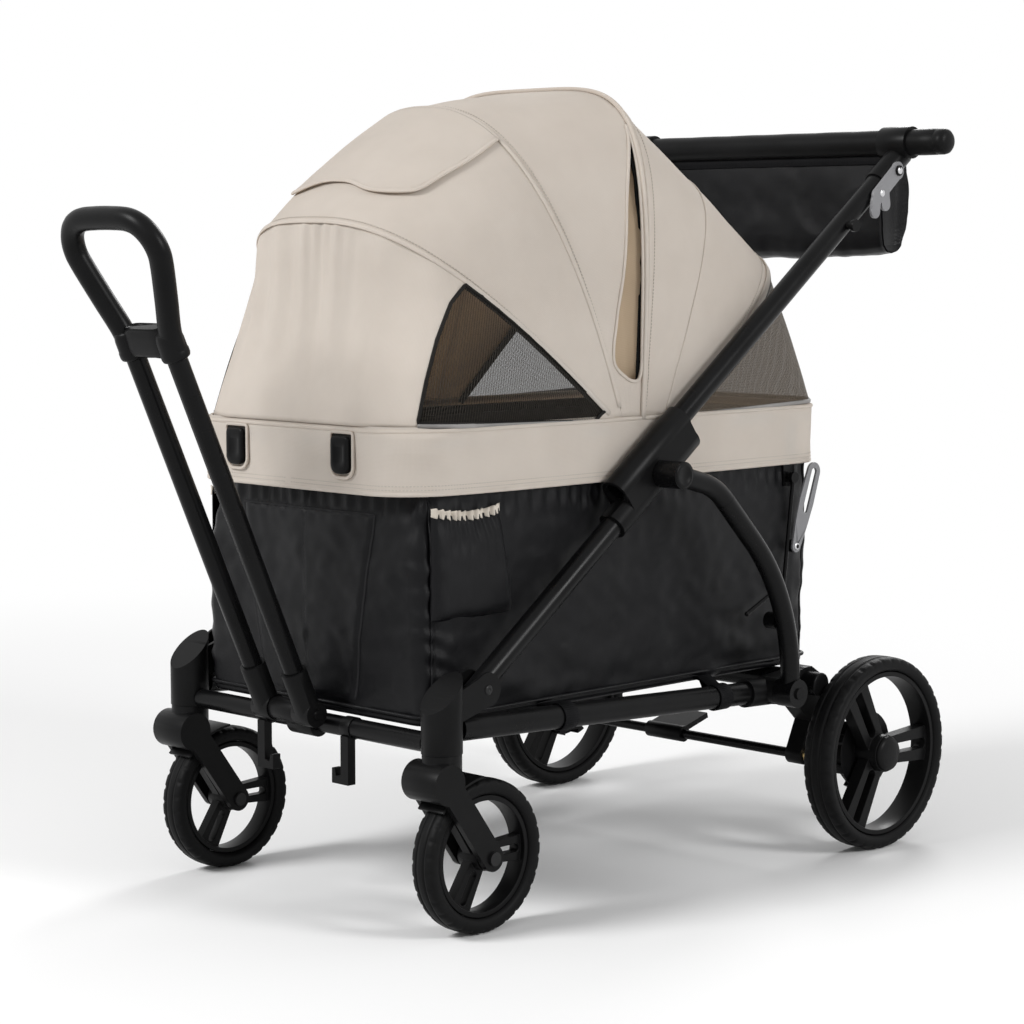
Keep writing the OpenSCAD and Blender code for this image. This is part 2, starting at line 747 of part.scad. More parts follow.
// The rear rim carries the brake drum on its inner side, with notches for the brake's fingers.
drum_r = 58;
notch_count = 8;
notch_w = 29;
notch_depth = 9;
module rear_rim() {
  color(black) rear_wheel_at() {
    wheel_rim(rear_r, rear_wheel_w - 2, rear_axle_d, 27);
    translate([-rear_wheel_w / 2 - drum_w + 1, 0, 0]) rotate([0, 90, 0]) difference() {
      cylinder(h = drum_w + 6, r = drum_r);
      for (i = [0 : notch_count - 1]) rotate(i * 360 / notch_count - 90)
        translate([drum_r - notch_depth, -notch_w / 2, -past]) cube([2 * notch_depth, notch_w, drum_w + 6]);
      translate([0, 0, -past]) cylinder(h = drum_w + 6 + 2 * past, d = rear_axle_d + 2 * run);
    }
  }
}
module front_tyre_left() { left() front_tyre(); }
module front_tyre_right() { right() front_tyre(); }
module front_rim_left() { left() front_rim(); }
module front_rim_right() { right() front_rim(); }
module rear_tyre_left() { left() rear_tyre(); }
module rear_tyre_right() { right() rear_tyre(); }
module rear_rim_left() { left() rear_rim(); }
module rear_rim_right() { right() rear_rim(); }

// Brake: a bar that turns between the brackets, with a finger at each end and a pedal.
brake_ahead = 92;
brake_d = 14;
brake_y = -brake_ahead;
brake_z = rear_r;
finger_x0 = wheel_in - drum_w + 2;
finger_w = 8;
// Turn of the brake bar from its rest to where its fingers lie in the notches
brake_swing = 34;
finger_bite = 3;
brake_arm = brake_ahead - drum_r + finger_bite;
module brake_bar() {
  end_x = finger_x0 + finger_w;
  root = brake_d / 2 - 1;
  color(frame_black) {
    xbar(-end_x, end_x, brake_y, brake_z, brake_d);
    both() side_plate(finger_x0, end_x)
      translate([brake_y, brake_z]) rotate(brake_swing)
        polygon([[0, -root], [brake_arm, -2], [brake_arm, 2], [0, root]]);
  }
}
pedal_w = 70;
pedal_l = 58;
module brake_pedal() {
  color(black) difference() {
    union() {
      xbar(-pedal_w / 2, pedal_w / 2, brake_y, brake_z, brake_d + 10);
      translate([-pedal_w / 2 + web_in, brake_y, brake_z + 2]) rotate([16, 0, 0])
        cube([pedal_w - 2 * web_in, pedal_l, 8]);
    }
    xbar(-pedal_w, pedal_w, brake_y, brake_z, brake_d + 2 * hold);
  }
}

// Pull handle

yoke_w = 48;
yoke_pin_d = 12;
socket_w = 33;
socket_d = pull_d + 8;
knuckle_d = 34;
pull_x = pull_gap / 2;
socket_x0 = yoke_w / 2 + gap;
module handle_yoke() {
  pin_x = socket_x0 + socket_w + 4;
  color(black) difference() {
    union() {
      side_plate(-yoke_w / 2, yoke_w / 2) {
        translate([swivel_y, front_cross_z]) circle(d = front_cross_d + 2 * clamp_wall);
        translate([swivel_y - 3, front_cross_z - 3]) circle(d = front_cross_d + 2 * clamp_wall + 4);
        translate([pull_y, pull_z]) circle(d = knuckle_d - 4);
        slot_2d([swivel_y, front_cross_z], [pull_y, pull_z], knuckle_d - 8);
      }
      xbar(-pin_x, pin_x, pull_y, pull_z, yoke_pin_d);
    }
    xbar(-yoke_w, yoke_w, swivel_y, front_cross_z, front_cross_d + 2 * hold);
  }
}

// Point of the pull handle: x across, s along the handle from its hinge.
function on_pull(x, s) = [x, pull_y - s * sin(pull_lean), pull_z + s * cos(pull_lean)];
socket_len = 64;
tube_from = 22;
tube_to = 520;
saddle_t = 28;
// Distance from the top of the grip loop down to where its sides start to close in
grip_side = 62;
module pull_sockets() {
  color(black) both() difference() {
    union() {
      xbar(socket_x0, socket_x0 + socket_w, pull_y, pull_z, knuckle_d);
      rod(on_pull(pull_x, 0), on_pull(pull_x, socket_len), socket_d);
    }
    xbar(socket_x0 - past, pull_x + socket_d, pull_y, pull_z, yoke_pin_d + 2 * run);
    rod(on_pull(pull_x, tube_from), on_pull(pull_x, socket_len + past), pull_d + 2 * hold);
  }
}
module pull_tubes() {
  color(frame_black) both() pipe(on_pull(pull_x, tube_from), on_pull(pull_x, tube_to), pull_d);
}
module pull_grip() {
  low = tube_to - 32;
  wide = grip_w / 2 - grip_d / 2;
  loop = [
    [pull_x + 6, tube_to + 24],
    [wide - 4, pull_len - grip_side],
    [wide, pull_len - 42],
    [wide - 5, pull_len - 23],
    [wide - 18, pull_len - 8],
    [wide - 38, pull_len]
  ];
  color(black) difference() {
    union() {
      both() {
        rod(on_pull(pull_x, low), on_pull(pull_x, tube_to + 26), pull_d + 8);
        translate(on_pull(pull_x, tube_to + 26)) sphere(d = pull_d + 8 + ball_over);
        for (i = [0 : len(loop) - 2]) {
          rod(on_pull(loop[i][0], loop[i][1]), on_pull(loop[i + 1][0], loop[i + 1][1]), grip_d);
          translate(on_pull(loop[i + 1][0], loop[i + 1][1])) sphere(d = grip_d + ball_over);
        }
      }
      rod(on_pull(-wide + 38, pull_len), on_pull(wide - 38, pull_len), grip_d);
      translate(on_pull(0, low + 4)) rotate([pull_lean, 0, 0])
        translate([-pull_x, -saddle_t / 2, 0]) cube([2 * pull_x, saddle_t, tube_to + 26 - low]);
    }
    both() rod(on_pull(pull_x, low - past), on_pull(pull_x, tube_to + gap), pull_d + 2 * hold);
  }
}

// J-shaped hooks that clip on the front cross tube
hook_x = 84;
hook_w = 15;
hook_t = 13;
hook_drop = 74;
hook_toe = 17;
hook_lip = 20;
module cargo_hooks() {
  half = hook_w / 2;
  color(black) both() difference() {
    union() {
      xbar(hook_x - 9, hook_x + 9, swivel_y, front_cross_z, front_cross_d + 2 * clamp_wall);
      translate([hook_x, swivel_y - 7 + hook_t / 2, front_cross_z]) rotate([90, 0, 0])
        linear_extrude(hook_t) polygon([
          [-half, -front_cross_d / 2 + 3],
          [half, -front_cross_d / 2 + 3],
          [half, -hook_drop],
          [-half - hook_toe, -hook_drop],
          [-half - hook_toe, -hook_drop + hook_lip],
          [-half - hook_toe + 6, -hook_drop + hook_lip],
          [-half - hook_toe + 8, -hook_drop + 10],
          [-half, -hook_drop + 12]
        ]);
    }
    xbar(hook_x - 20, hook_x + 20, swivel_y, front_cross_z, front_cross_d + 2 * hold);
  }
}

// Folding frame

// Point in space on the left diagonal.
function diag_point(s, t) = let (p = on_diag(s, t)) [frame_x, p[0], p[1]];
sleeve_to = sleeve_from + sleeve_len;
module diagonals() {
  color(frame_black) both() difference() {
    pipe(diag_point(-12, 0), diag_point(sleeve_to - 4, 0), diag_d);
    xbar(frame_x - diag_d, frame_x + diag_d, pivot_y, pivot_z, pivot_pin_d + 2 * run);
  }
}

sleeve_wall = 5;
sleeve_step = 30;
module sleeves() {
  outer_d = diag_d + 2 * sleeve_wall;
  color(black) both() difference() {
    union() {
      rod(diag_point(sleeve_from, 0), diag_point(sleeve_to, 0), outer_d);
      rod(diag_point(sleeve_from + sleeve_step, push_lift), diag_point(sleeve_to, push_lift), outer_d);
      translate(diag_point(sleeve_from + sleeve_step, 0)) rotate([diag_angle, 0, 0])
        translate([-outer_d / 2 + side_in, web_in, 0])
          cube([outer_d - 2 * side_in, sleeve_len - sleeve_step - 2 * web_in, push_lift]);
    }
    rod(diag_point(sleeve_from - past, 0), diag_point(sleeve_to + past, 0), diag_d + 2 * run);
    rod(diag_point(sleeve_from - past, push_lift), diag_point(sleeve_to + past, push_lift),
      diag_d + 2 * hold);
  }
}

joint_cover = 46;
push_tube_to = push_reach - 34;
module push_tubes() {
  color(frame_black) both()
    pipe(diag_point(sleeve_from + sleeve_step + 6, push_lift), diag_point(push_tube_to, push_lift), diag_d);
}

// T-joint between a push tube and the push bar, with the rivet that the lever turns on.
joint_wall = 2.5;
lever_t = 4;
lever_x = frame_x + diag_d / 2 + joint_wall + gap;
rivet_back = 49;
rivet_s = push_reach - rivet_back;
rivet_d = 8;
module push_joints() {
  bar_x0 = frame_x - 26;
  bar_x1 = frame_x + 24;
  rivet = on_diag(rivet_s, push_lift);
  color(black) both() difference() {
    union() {
      rod(diag_point(push_tube_to - joint_cover, push_lift), diag_point(push_reach - 6, push_lift),
        diag_d + 2 * joint_wall);
      xbar(bar_x0, bar_x1, bar_at[0], bar_at[1], joint_bar_d);
      xbar(frame_x + diag_d / 2 + 1, lever_x + lever_t + gap + 2, rivet[0], rivet[1], rivet_d);
      xbar(lever_x + lever_t + gap, lever_x + lever_t + gap + 2.5, rivet[0], rivet[1], rivet_d + 7);
    }
    rod(diag_point(push_tube_to - joint_cover - past, push_lift), diag_point(push_tube_to + gap, push_lift),
      diag_d + 2 * hold);
    xbar(bar_x0 - past, bar_x1 + past, bar_at[0], bar_at[1], push_bar_d + 2 * hold);
  }
}
module push_bar() {
  half = push_bar_len / 2 - push_bar_d / 2;
  color(black) {
    xbar(-half, half, bar_at[0], bar_at[1], push_bar_d);
    for (s = [-1, 1]) translate([s * half, bar_at[0], bar_at[1]]) sphere(d = push_bar_d);
  }
}

// Knob on each push tube that the latch catches when the frame is folded
striker_back = 183;
striker_cut = 30;
striker_s = push_reach - striker_back;
module striker_posts() {
  p = on_diag(striker_s, push_lift);
  face = frame_x + diag_d / 2;
  color(black) both() difference() {
    union() {
      xbar(face - 3, face + 10, p[0], p[1], 12);
      xbar(face + 8, face + 14, p[0], p[1], 18);
    }
    rod(diag_point(striker_s - striker_cut, push_lift), diag_point(striker_s + striker_cut, push_lift),
      diag_d + 2 * hold);
  }
}

// Finger lever on each push tube below the T-joint
module lever() {
  pin = on_diag(rivet_s, push_lift);
  function near(s, t) = on_diag(rivet_s + s, push_lift + t);
  color(grey) side_plate(lever_x, lever_x + lever_t) difference() {
    union() {
      translate(pin) circle(d = 26);
      slot_2d(pin, near(-60, -2), 24);
      slot_2d(near(-46, -10), near(-52, -22), 20);
      slot_2d(near(-68, -6), near(-78, -16), 20);
    }
    translate(pin) circle(d = rivet_d + 2 * run);
  }
}
module lever_left() { left() lever(); }
module lever_right() { right() lever(); }

// Curved rear leg: up from its foot pin, round two bends, to a knuckle beside the sleeve.
leg_r1 = 290;
leg_turn1 = 45;
leg_run = 86;
leg_r2 = 100;
leg_turn2 = 30;
leg_end = 56;
leg_base = 17;
knuckle_w = 40;
knuckle_over = 9;
bend_slim = 0.4;
bend_over = 2;
// Bend of radius r, a touch slimmer than the straights and reaching a little into them.
module bend(r, turn, d) {
  over = bend_over / r * 180 / PI;
  rotate([90, 0, 90]) rotate(-over) rotate_extrude(angle = turn + 2 * over, $fn = 96)
    translate([r, 0]) circle(d = d - bend_slim);
}
module rear_leg() {
  base = [foot_y, foot_z + leg_base];
  c1 = base - [leg_r1, 0];
  p1 = c1 + leg_r1 * [cos(leg_turn1), sin(leg_turn1)];
  p2 = p1 + leg_run * [-sin(leg_turn1), cos(leg_turn1)];
  turn = leg_turn1 + leg_turn2;
  c2 = p2 - leg_r2 * [cos(leg_turn1), sin(leg_turn1)];
  p3 = c2 + leg_r2 * [cos(turn), sin(turn)];
  p4 = p3 + leg_end * [-sin(turn), cos(turn)];
  knob = c1 + leg_r1 * [cos(17), sin(17)];
  boss_x = frame_x + diag_d / 2 + sleeve_wall + gap;
  difference() {
    union() {
      xbar(leg_x - foot_eye_w / 2, leg_x + foot_eye_w / 2, foot_y, foot_z, foot_boss_d + 4);
      rod([leg_x, foot_y, foot_z], [leg_x, base[0], base[1]], leg_d);
      translate([leg_x, c1[0], c1[1]]) bend(leg_r1, leg_turn1, leg_d);
      rod([leg_x, p1[0], p1[1]], [leg_x, p2[0], p2[1]], leg_d);
      translate([leg_x, c2[0], c2[1]]) rotate([leg_turn1, 0, 0]) bend(leg_r2, leg_turn2, leg_d);
      rod([leg_x, p3[0], p3[1]], [leg_x, p4[0], p4[1]], leg_d);
      xbar(boss_x, boss_x + knuckle_w, p4[0], p4[1], leg_d + knuckle_over);
      xbar(leg_x - leg_d / 2 - 16, leg_x - leg_d / 2 + 3, knob[0], knob[1], 24);
    }
    xbar(leg_x - foot_eye_w, leg_x + foot_eye_w, foot_y, foot_z, foot_pin_d + 2 * run);
  }
}
module rear_legs() { color(frame_black) both() rear_leg(); }

// Hood

hood_x = skirt_x - 3;
hood_base = skirt_top + gap;
hood_cols = 28;

// A bow is [feet y, top y, top height, squareness]; its arch is a superellipse in its own plane.
ridge_lean = 18;
ridge = [-ridge_ahead, -ridge_ahead + ridge_lean, ridge_rise, 4.4];
mid = [
  -front_pivot_ahead + 6,
  -front_pivot_ahead - mid_bow_r * cos(mid_bow_angle),
  mid_bow_r * sin(mid_bow_angle), 2.5
];
front = [
  -front_pivot_ahead - 8,
  -front_pivot_ahead - front_bow_r * cos(front_bow_angle),
  front_bow_r * sin(front_bow_angle), 2.8
];
brow = [-front_pivot_ahead - 22, skirt_front + 3, 6, 6];
rear = [
  -rear_pivot_ahead,
  -rear_pivot_ahead + rear_bow_r * cos(rear_bow_angle),
  rear_bow_r * sin(rear_bow_angle), 5
];
tail = [-rear_pivot_ahead + 14, skirt_rear - 3, 6, 6];

// Point u, from 0 on the left to 1 on the right, of a bow moved in by inset and along its normal by off.
function bow_point(b, u, inset = 0, off = 0) =
  let (
    a = 180 * u,
    rise = norm([b[1] - b[0], b[2]]),
    rho = pow(pow(abs(cos(a)), b[3]) + pow(abs(sin(a)), b[3]), -1 / b[3]),
    reach = rho * sin(a) * (rise - inset) / rise,
    ny = b[2] / rise,
    nz = -(b[1] - b[0]) / rise
  )
  [
    (hood_x - inset) * rho * cos(a),
    b[0] + (b[1] - b[0]) * reach + off * ny,
    hood_base + b[2] * reach + off * nz
  ];

// Row of points a share v of the way from bow p to bow q, kept a little off both.
function panel_row(p, q, v, inset, swell) = [
  for (j = [0 : hood_cols])
    let (u = j / hood_cols, lift = swell * sin(180 * v) * sin(180 * u),
      a = bow_point(p, u, inset - lift), b = bow_point(q, u, inset - lift))
    a + (b - a) * v
];
module panel(p, q, swell) {
  shares = [0.006, 0.26, 0.5, 0.74, 0.994];
  slab([for (v = shares) panel_row(p, q, v, 0, swell)],
    [for (v = shares) panel_row(p, q, v, cloth_t - 1, swell)]);
}

// Bow's strip: its outer face is a low roof, so that it clears the cloth that slopes away on both sides.
roof_slope = 0.75;
module bow(b) {
  inset = cloth_t - 1 + gap;
  drop = roof_slope * bow_w / 2;
  function row(d, off) = [for (j = [0 : hood_cols]) bow_point(b, j / hood_cols, d, off)];
  slab([row(inset + drop, -bow_w / 2), row(inset, 0), row(inset + drop, bow_w / 2)],
    [row(inset + drop + bow_t / 2, -bow_w / 2), row(inset + drop + bow_t / 2, 0),
     row(inset + drop + bow_t / 2, bow_w / 2)]);
}

module ridge_bow() { color(frame_black) bow(ridge); }
module mid_bow() { color(frame_black) bow(mid); }
module front_bow() { color(frame_black) bow(front); }
module rear_bow() { color(frame_black) bow(rear); }
module mid_panel() { color(cream) panel(ridge, mid, 2); }
module front_top_panel() { color(cream) panel(mid, front, 8); }
module front_face_panel() { color(cream) panel(front, brow, 8); }
module rear_panel() { color(cream) panel(rear, ridge, 4); }
module rear_mesh() { color(mesh_brown) panel(tail, rear, 2); }

// Storage bag with an open top behind the push bar, from which its front wall hangs
bag_inset = 28;
bag_x = frame_x - bag_inset;
bag_h = 149;
bag_wall = 4;
bag_open = 16;
bag_clear = 8;
bag_top = bar_at[1] - push_bar_d / 2 - gap;
bag_low = bag_top - bag_h;
// The bag's front stays clear of the hood's back, which slopes from the rear bow down to the skirt.
rear_top_z = hood_base + rear[2];
hood_share = min(1, max(0, (rear_top_z - bag_low) / rear[2]));
hood_back = rear[1] + hood_share * (tail[1] - rear[1]);
bag_front = max(bar_at[0] - bag_wall / 2, hood_back + bag_clear);
bag_d = bag_behind + bag_wall / 2;
module organizer() {
  color(cloth_black) difference() {
    translate([-bag_x, bag_front, bag_low]) cube([2 * bag_x, bag_d, bag_h]);
    translate([-bag_x + bag_wall, bag_front + bag_wall, bag_low + bag_wall])
      cube([2 * (bag_x - bag_wall), bag_d - 2 * bag_wall, bag_h]);
    translate([-bag_x - past, bag_front + bag_wall, bag_top - bag_open])
      cube([2 * (bag_x + past), bag_d + past, bag_open + past]);
  }
}

place() hub_left();
place() hub_right();
place() front_cross_tube();
place() side_tubes();
place() rear_brackets();
place() rear_cross_tube();
place() rear_axles();
place() tub_floor();
place() tub_front_wall();
place() tub_rear_wall();
place() tub_left_wall();
place() tub_right_wall();
place() side_pockets();
place() seat_pads();
place() back_pads();
place() webbing_loops();
place() handle_yoke();
place() cargo_hooks();
place() fork_left();
place() fork_right();
place() front_axle_left();
place() front_axle_right();
place() front_tyre_left();
place() front_tyre_right();
place() front_rim_left();
place() front_rim_right();
place() rear_tyre_left();
place() rear_tyre_right();
place() rear_rim_left();
place() rear_rim_right();
place() brake_bar();
place() brake_pedal();
place() pull_grip();
place() pull_tubes();
place() pull_sockets();
place() diagonals();
place() sleeves();
place() push_tubes();
place() push_joints();
place() push_bar();
place() striker_posts();
place() organizer();
place() lever_left();
place() lever_right();
place() rear_legs();
place() stays();
place() latch_left();
place() latch_right();
place() rim_frame();
place() skirt();
place() ridge_bow();
place() mid_bow();
place() mid_panel();
place() front_bow();
place() front_top_panel();
place() front_face_panel();
place() rear_bow();
place() rear_panel();
place() rear_mesh();
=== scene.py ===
# %% [markdown]
# A folding stroller wagon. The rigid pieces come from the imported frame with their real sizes. This lesson
# dresses them: cloth for the tub and the hood, nets, seams, rubber, and small hardware. Everything is in
# metres, in the frame's own axes: the front is at -Y, the wagon's left side at +X.

# %% Load the frame
import json
import math
import bpy
import bmesh
import numpy as np
from mathutils import Matrix, Vector, noise


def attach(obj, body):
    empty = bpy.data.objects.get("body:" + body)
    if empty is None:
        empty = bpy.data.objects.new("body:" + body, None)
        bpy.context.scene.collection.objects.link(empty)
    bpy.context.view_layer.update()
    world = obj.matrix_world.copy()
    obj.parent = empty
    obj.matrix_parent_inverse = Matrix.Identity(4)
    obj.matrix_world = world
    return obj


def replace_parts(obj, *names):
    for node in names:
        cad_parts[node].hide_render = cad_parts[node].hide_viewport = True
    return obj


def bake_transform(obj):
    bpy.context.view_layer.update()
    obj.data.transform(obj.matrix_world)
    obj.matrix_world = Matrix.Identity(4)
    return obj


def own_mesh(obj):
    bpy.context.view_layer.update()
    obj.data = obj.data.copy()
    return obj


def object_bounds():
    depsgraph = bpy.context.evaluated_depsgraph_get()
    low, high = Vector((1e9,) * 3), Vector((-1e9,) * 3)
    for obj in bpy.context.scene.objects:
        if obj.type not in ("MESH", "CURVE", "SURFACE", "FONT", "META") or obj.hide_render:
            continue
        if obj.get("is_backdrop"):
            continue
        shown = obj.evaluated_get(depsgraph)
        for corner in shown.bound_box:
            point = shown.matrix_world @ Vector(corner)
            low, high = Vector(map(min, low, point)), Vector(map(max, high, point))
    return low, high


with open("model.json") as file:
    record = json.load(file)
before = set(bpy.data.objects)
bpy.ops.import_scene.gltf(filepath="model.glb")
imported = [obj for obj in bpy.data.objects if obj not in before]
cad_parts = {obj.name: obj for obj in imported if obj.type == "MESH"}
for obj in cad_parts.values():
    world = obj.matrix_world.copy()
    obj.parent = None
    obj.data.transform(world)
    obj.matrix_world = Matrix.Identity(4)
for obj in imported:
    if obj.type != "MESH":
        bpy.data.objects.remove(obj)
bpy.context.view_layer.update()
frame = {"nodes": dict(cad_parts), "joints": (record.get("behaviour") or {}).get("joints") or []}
nodes = frame["nodes"]
axle_y = next(j["pos_m"][1] for j in frame["joints"] if j["name"] == "rear_wheel_left_spin")
print("loaded", len(nodes), "nodes; the rear axle lies at y", round(axle_y, 4))

# %% [markdown]
# The wagon was measured in millimetres from its rear axle, so one helper turns such a point into the
# frame's metres. The camera comes first, because every later choice is seen through it.

# %% Places and the camera
MM = 1000
SIDES = (("left", 1), ("right", -1))


def at(x, y, z):
    """A point measured in millimetres from the rear axle, in the frame's metres."""
    return Vector((x / MM, y / MM + axle_y, z / MM))


def placed(name, data):
    """A new object with that data, linked to the scene."""
    thing = bpy.data.objects.new(name, data)
    bpy.context.scene.collection.objects.link(thing)
    return thing


turn, dip = math.radians(45.01), math.radians(5.90)
look = Vector((-math.sin(turn) * math.cos(dip), math.cos(turn) * math.cos(dip), -math.sin(dip)))
lens = bpy.data.cameras.new("camera")
lens.sensor_width, lens.lens, lens.clip_end = 36, 92.43, 60
camera = placed("camera", lens)
camera.location = at(2611, -3034, 879)
camera.rotation_euler = look.to_track_quat("-Z", "Y").to_euler()
bpy.context.scene.camera = camera
print("camera at", [round(c, 3) for c in camera.location])

# %% [markdown]
# Each finish is a small node tree. One helper starts the tree with a Principled shader, and one adds a
# node: a number sets the socket or the property of that name, and another node's socket is linked to it.

# %% Start of a finish
def start_finish(name, roughness, specular, **constants):
    material = bpy.data.materials.new(name)
    material.use_nodes = True
    tree = material.node_tree
    shader = next(n for n in tree.nodes if n.type == "BSDF_PRINCIPLED")
    values = {"Roughness": roughness, "Specular IOR Level": specular, **constants}
    for socket, value in values.items():
        shader.inputs[socket.replace("_", " ")].default_value = value
    return material, tree, shader


def add_node(tree, kind, **values):
    node = tree.nodes.new("ShaderNode" + kind)
    for key, value in values.items():
        socket = node.inputs.get(key.replace("_", " "))
        if socket is None:
            setattr(node, key, value)
        elif isinstance(value, bpy.types.NodeSocket):
            tree.links.new(value, socket)
        else:
            socket.default_value = value
    return node


def sums(tree, operation, *terms, **settings):
    """A math node: terms that are numbers are set, and sockets are linked."""
    node = add_node(tree, "Math", operation=operation, **settings)
    for term, socket in zip(terms, node.inputs):
        if isinstance(term, (int, float)):
            socket.default_value = term
        else:
            tree.links.new(term, socket)
    return node.outputs[0]


def mixed(tree, share, first, second, end):
    """Mix two shaders by a share, and let the mix be the tree's surface."""
    both = add_node(tree, "MixShader", Fac=share)
    for k, part in ((1, first), (2, second)):
        tree.links.new(part.outputs[0], both.inputs[k])
    tree.links.new(both.outputs[0], end.inputs["Surface"])


# %% [markdown]
# Three things tell one finish from another here: two tones that drift into each other, a skin that is felt
# more than seen, and threads. Tones come from a ramp, the skin from a bump, and threads from waves that run
# on the piece's own lengths, so that they keep their size on a small piece and on a large one.

# %% Tones, skin and threads
BUMP_REACH = 0.0004
WAVE_RADIANS = 20


def two_tone(tree, shader, fac, dark, light):
    ramp = add_node(tree, "ValToRGB", Fac=fac)
    for stop, colour, place in zip(ramp.color_ramp.elements, (dark, light), (0.3, 0.72)):
        stop.color, stop.position = (*colour, 1), place
    tree.links.new(ramp.outputs["Color"], shader.inputs["Base Color"])


def bump(tree, shader, height, strength):
    node = add_node(tree, "Bump", Strength=strength, Distance=BUMP_REACH, Height=height)
    tree.links.new(node.outputs["Normal"], shader.inputs["Normal"])


def threads(tree, place, pitch, **values):
    """Two sets of waves that cross. A wave texture turns by 20 radians per unit of its scale."""
    scale = 2 * math.pi / (WAVE_RADIANS * pitch)
    return [add_node(tree, "TexWave", bands_direction=direction, Scale=scale, Vector=place.outputs["UV"],
                     **values).outputs["Fac"] for direction in "XY"]


# %% [markdown]
# Woven cloth is two sets of threads that cross. Two wave textures on the piece's own lengthwise and
# crosswise coordinates give the threads, and a soft noise gives the small unevenness of dye and light.

# %% Woven cloth
def woven(name, dark, light, pitch, roughness, specular, sheen, depth, through=0.0):
    material, tree, shader = start_finish(name, roughness, specular, Sheen_Weight=sheen, Sheen_Roughness=0.4)
    place = add_node(tree, "TexCoord")
    cross = sums(tree, "ADD", *threads(tree, place, pitch, Distortion=0.6, Detail=1.0, Detail_Scale=0.4))
    dye = add_node(tree, "TexNoise", Scale=9.0, Detail=4.0, Roughness=0.6, Vector=place.outputs["Object"])
    shade = sums(tree, "MULTIPLY", dye.outputs["Fac"], 0.72)
    two_tone(tree, shader, sums(tree, "MULTIPLY_ADD", cross, 0.16, shade), dark, light)
    bump(tree, shader, cross, depth)
    if through:
        glow = add_node(tree, "BsdfTranslucent", Color=(0.72, 0.58, 0.43, 1))
        mixed(tree, through, shader, glow, next(n for n in tree.nodes if n.type == "OUTPUT_MATERIAL"))
    return material


cream_cloth = woven("cream_cloth", (0.61, 0.557, 0.5), (0.7, 0.647, 0.587), pitch=0.0016, roughness=0.8,
                    specular=0.2, sheen=0.06, depth=0.25, through=0.27)
black_cloth = woven("black_cloth", (0.0022, 0.0022, 0.0027), (0.0045, 0.0045, 0.0054), pitch=0.0013,
                    roughness=0.34, specular=0.14, sheen=0.0, depth=0.3)
tan_lining = woven("tan_lining", (0.5, 0.385, 0.265), (0.6, 0.47, 0.33), pitch=0.002, roughness=0.9,
                   specular=0.2, sheen=0.1, depth=0.3, through=0.3)
black_webbing = woven("black_webbing", (0.003, 0.003, 0.0035), (0.007, 0.007, 0.008), pitch=0.003,
                      roughness=0.6, specular=0.08, sheen=0.0, depth=0.6)
print("woven finishes made")

# %% [markdown]
# The net is a knit with real openings. Its holes are too small to model one by one on a part of this size,
# so two waves cut them in the alpha of a thin sheet, and light passes through. A veil keeps the finer net
# from shimmering.

# %% Net
def net_finish(name, dark, light, pitch, open_share, veil=0.0):
    material, tree, shader = start_finish(name, 0.75, 0.3)
    higher = sums(tree, "MAXIMUM", *threads(tree, add_node(tree, "TexCoord"), pitch))
    strand = sums(tree, "GREATER_THAN", higher, open_share)
    tree.links.new(sums(tree, "MAXIMUM", strand, veil), shader.inputs["Alpha"])
    two_tone(tree, shader, higher, dark, light)
    return material


window_net = net_finish("window_net", (0.012, 0.0105, 0.009), (0.034, 0.029, 0.023), pitch=0.0026,
                        open_share=0.93)
tail_brown = net_finish("tail_net", (0.034, 0.026, 0.018), (0.088, 0.068, 0.048), pitch=0.0026,
                        open_share=0.88, veil=0.6)
print("nets made")

# %% [markdown]
# Powder coat, moulded plastic and foam rubber are all black here, and only their skin tells them apart:
# powder coat has a fine orange peel, moulded plastic an even grain, and foam rubber a dull soft grain.

# %% Black skins, metals and grip
def grained(name, dark, light, roughness, specular, grain, depth, spread=0.12, **constants):
    """A skin of two tones: roughness, specular, grains per metre, depth of the grain, spread of roughness."""
    material, tree, shader = start_finish(name, roughness, specular, **constants)
    place = add_node(tree, "TexCoord").outputs["Object"]
    fine = add_node(tree, "TexNoise", Scale=grain, Detail=3.0, Roughness=0.55, Vector=place).outputs["Fac"]
    broad = add_node(tree, "TexNoise", Scale=14.0, Detail=3.0, Roughness=0.6, Vector=place).outputs["Fac"]
    two_tone(tree, shader, broad, dark, light)
    rough = add_node(tree, "MapRange", Value=broad, To_Min=roughness - spread, To_Max=roughness + spread)
    tree.links.new(rough.outputs["Result"], shader.inputs["Roughness"])
    bump(tree, shader, fine, depth)
    return material


powder_coat = grained("powder_coat", (0.003, 0.003, 0.0032), (0.005, 0.005, 0.0053), 0.28, 0.11, 900, 0.06)
moulded_black = grained("moulded_black", (0.004, 0.004, 0.0042), (0.0065, 0.0065, 0.0067), 0.36, 0.09, 900,
                        0.06)
foam_rubber = grained("foam_rubber", (0.0045, 0.0045, 0.0047), (0.007, 0.007, 0.0072), 0.5, 0.08, 700, 0.14)
plate_grey = grained("plate_grey", (0.165, 0.165, 0.172), (0.215, 0.215, 0.224), 0.42, 0.5, 800, 0.1)
dark_steel = grained("dark_steel", (0.008, 0.008, 0.0083), (0.015, 0.015, 0.0153), 0.34, 0.2, 500, 0.08, 0.08)
bright_steel = grained("bright_steel", (0.5, 0.5, 0.51), (0.68, 0.68, 0.69), 0.28, 0.5, 500, 0.08, 0.08,
                       Metallic=1.0)
brass_nut = grained("brass_nut", (0.42, 0.3, 0.13), (0.6, 0.45, 0.22), 0.3, 0.5, 500, 0.08, 0.08,
                    Metallic=1.0)
grip_skin = grained("grip_skin", (0.004, 0.004, 0.0042), (0.007, 0.007, 0.0072), 0.42, 0.09, 420, 0.25)
elastic_cream = grained("elastic_cream", (0.5, 0.45, 0.39), (0.62, 0.57, 0.5), 0.85, 0.2, 260, 0.5)
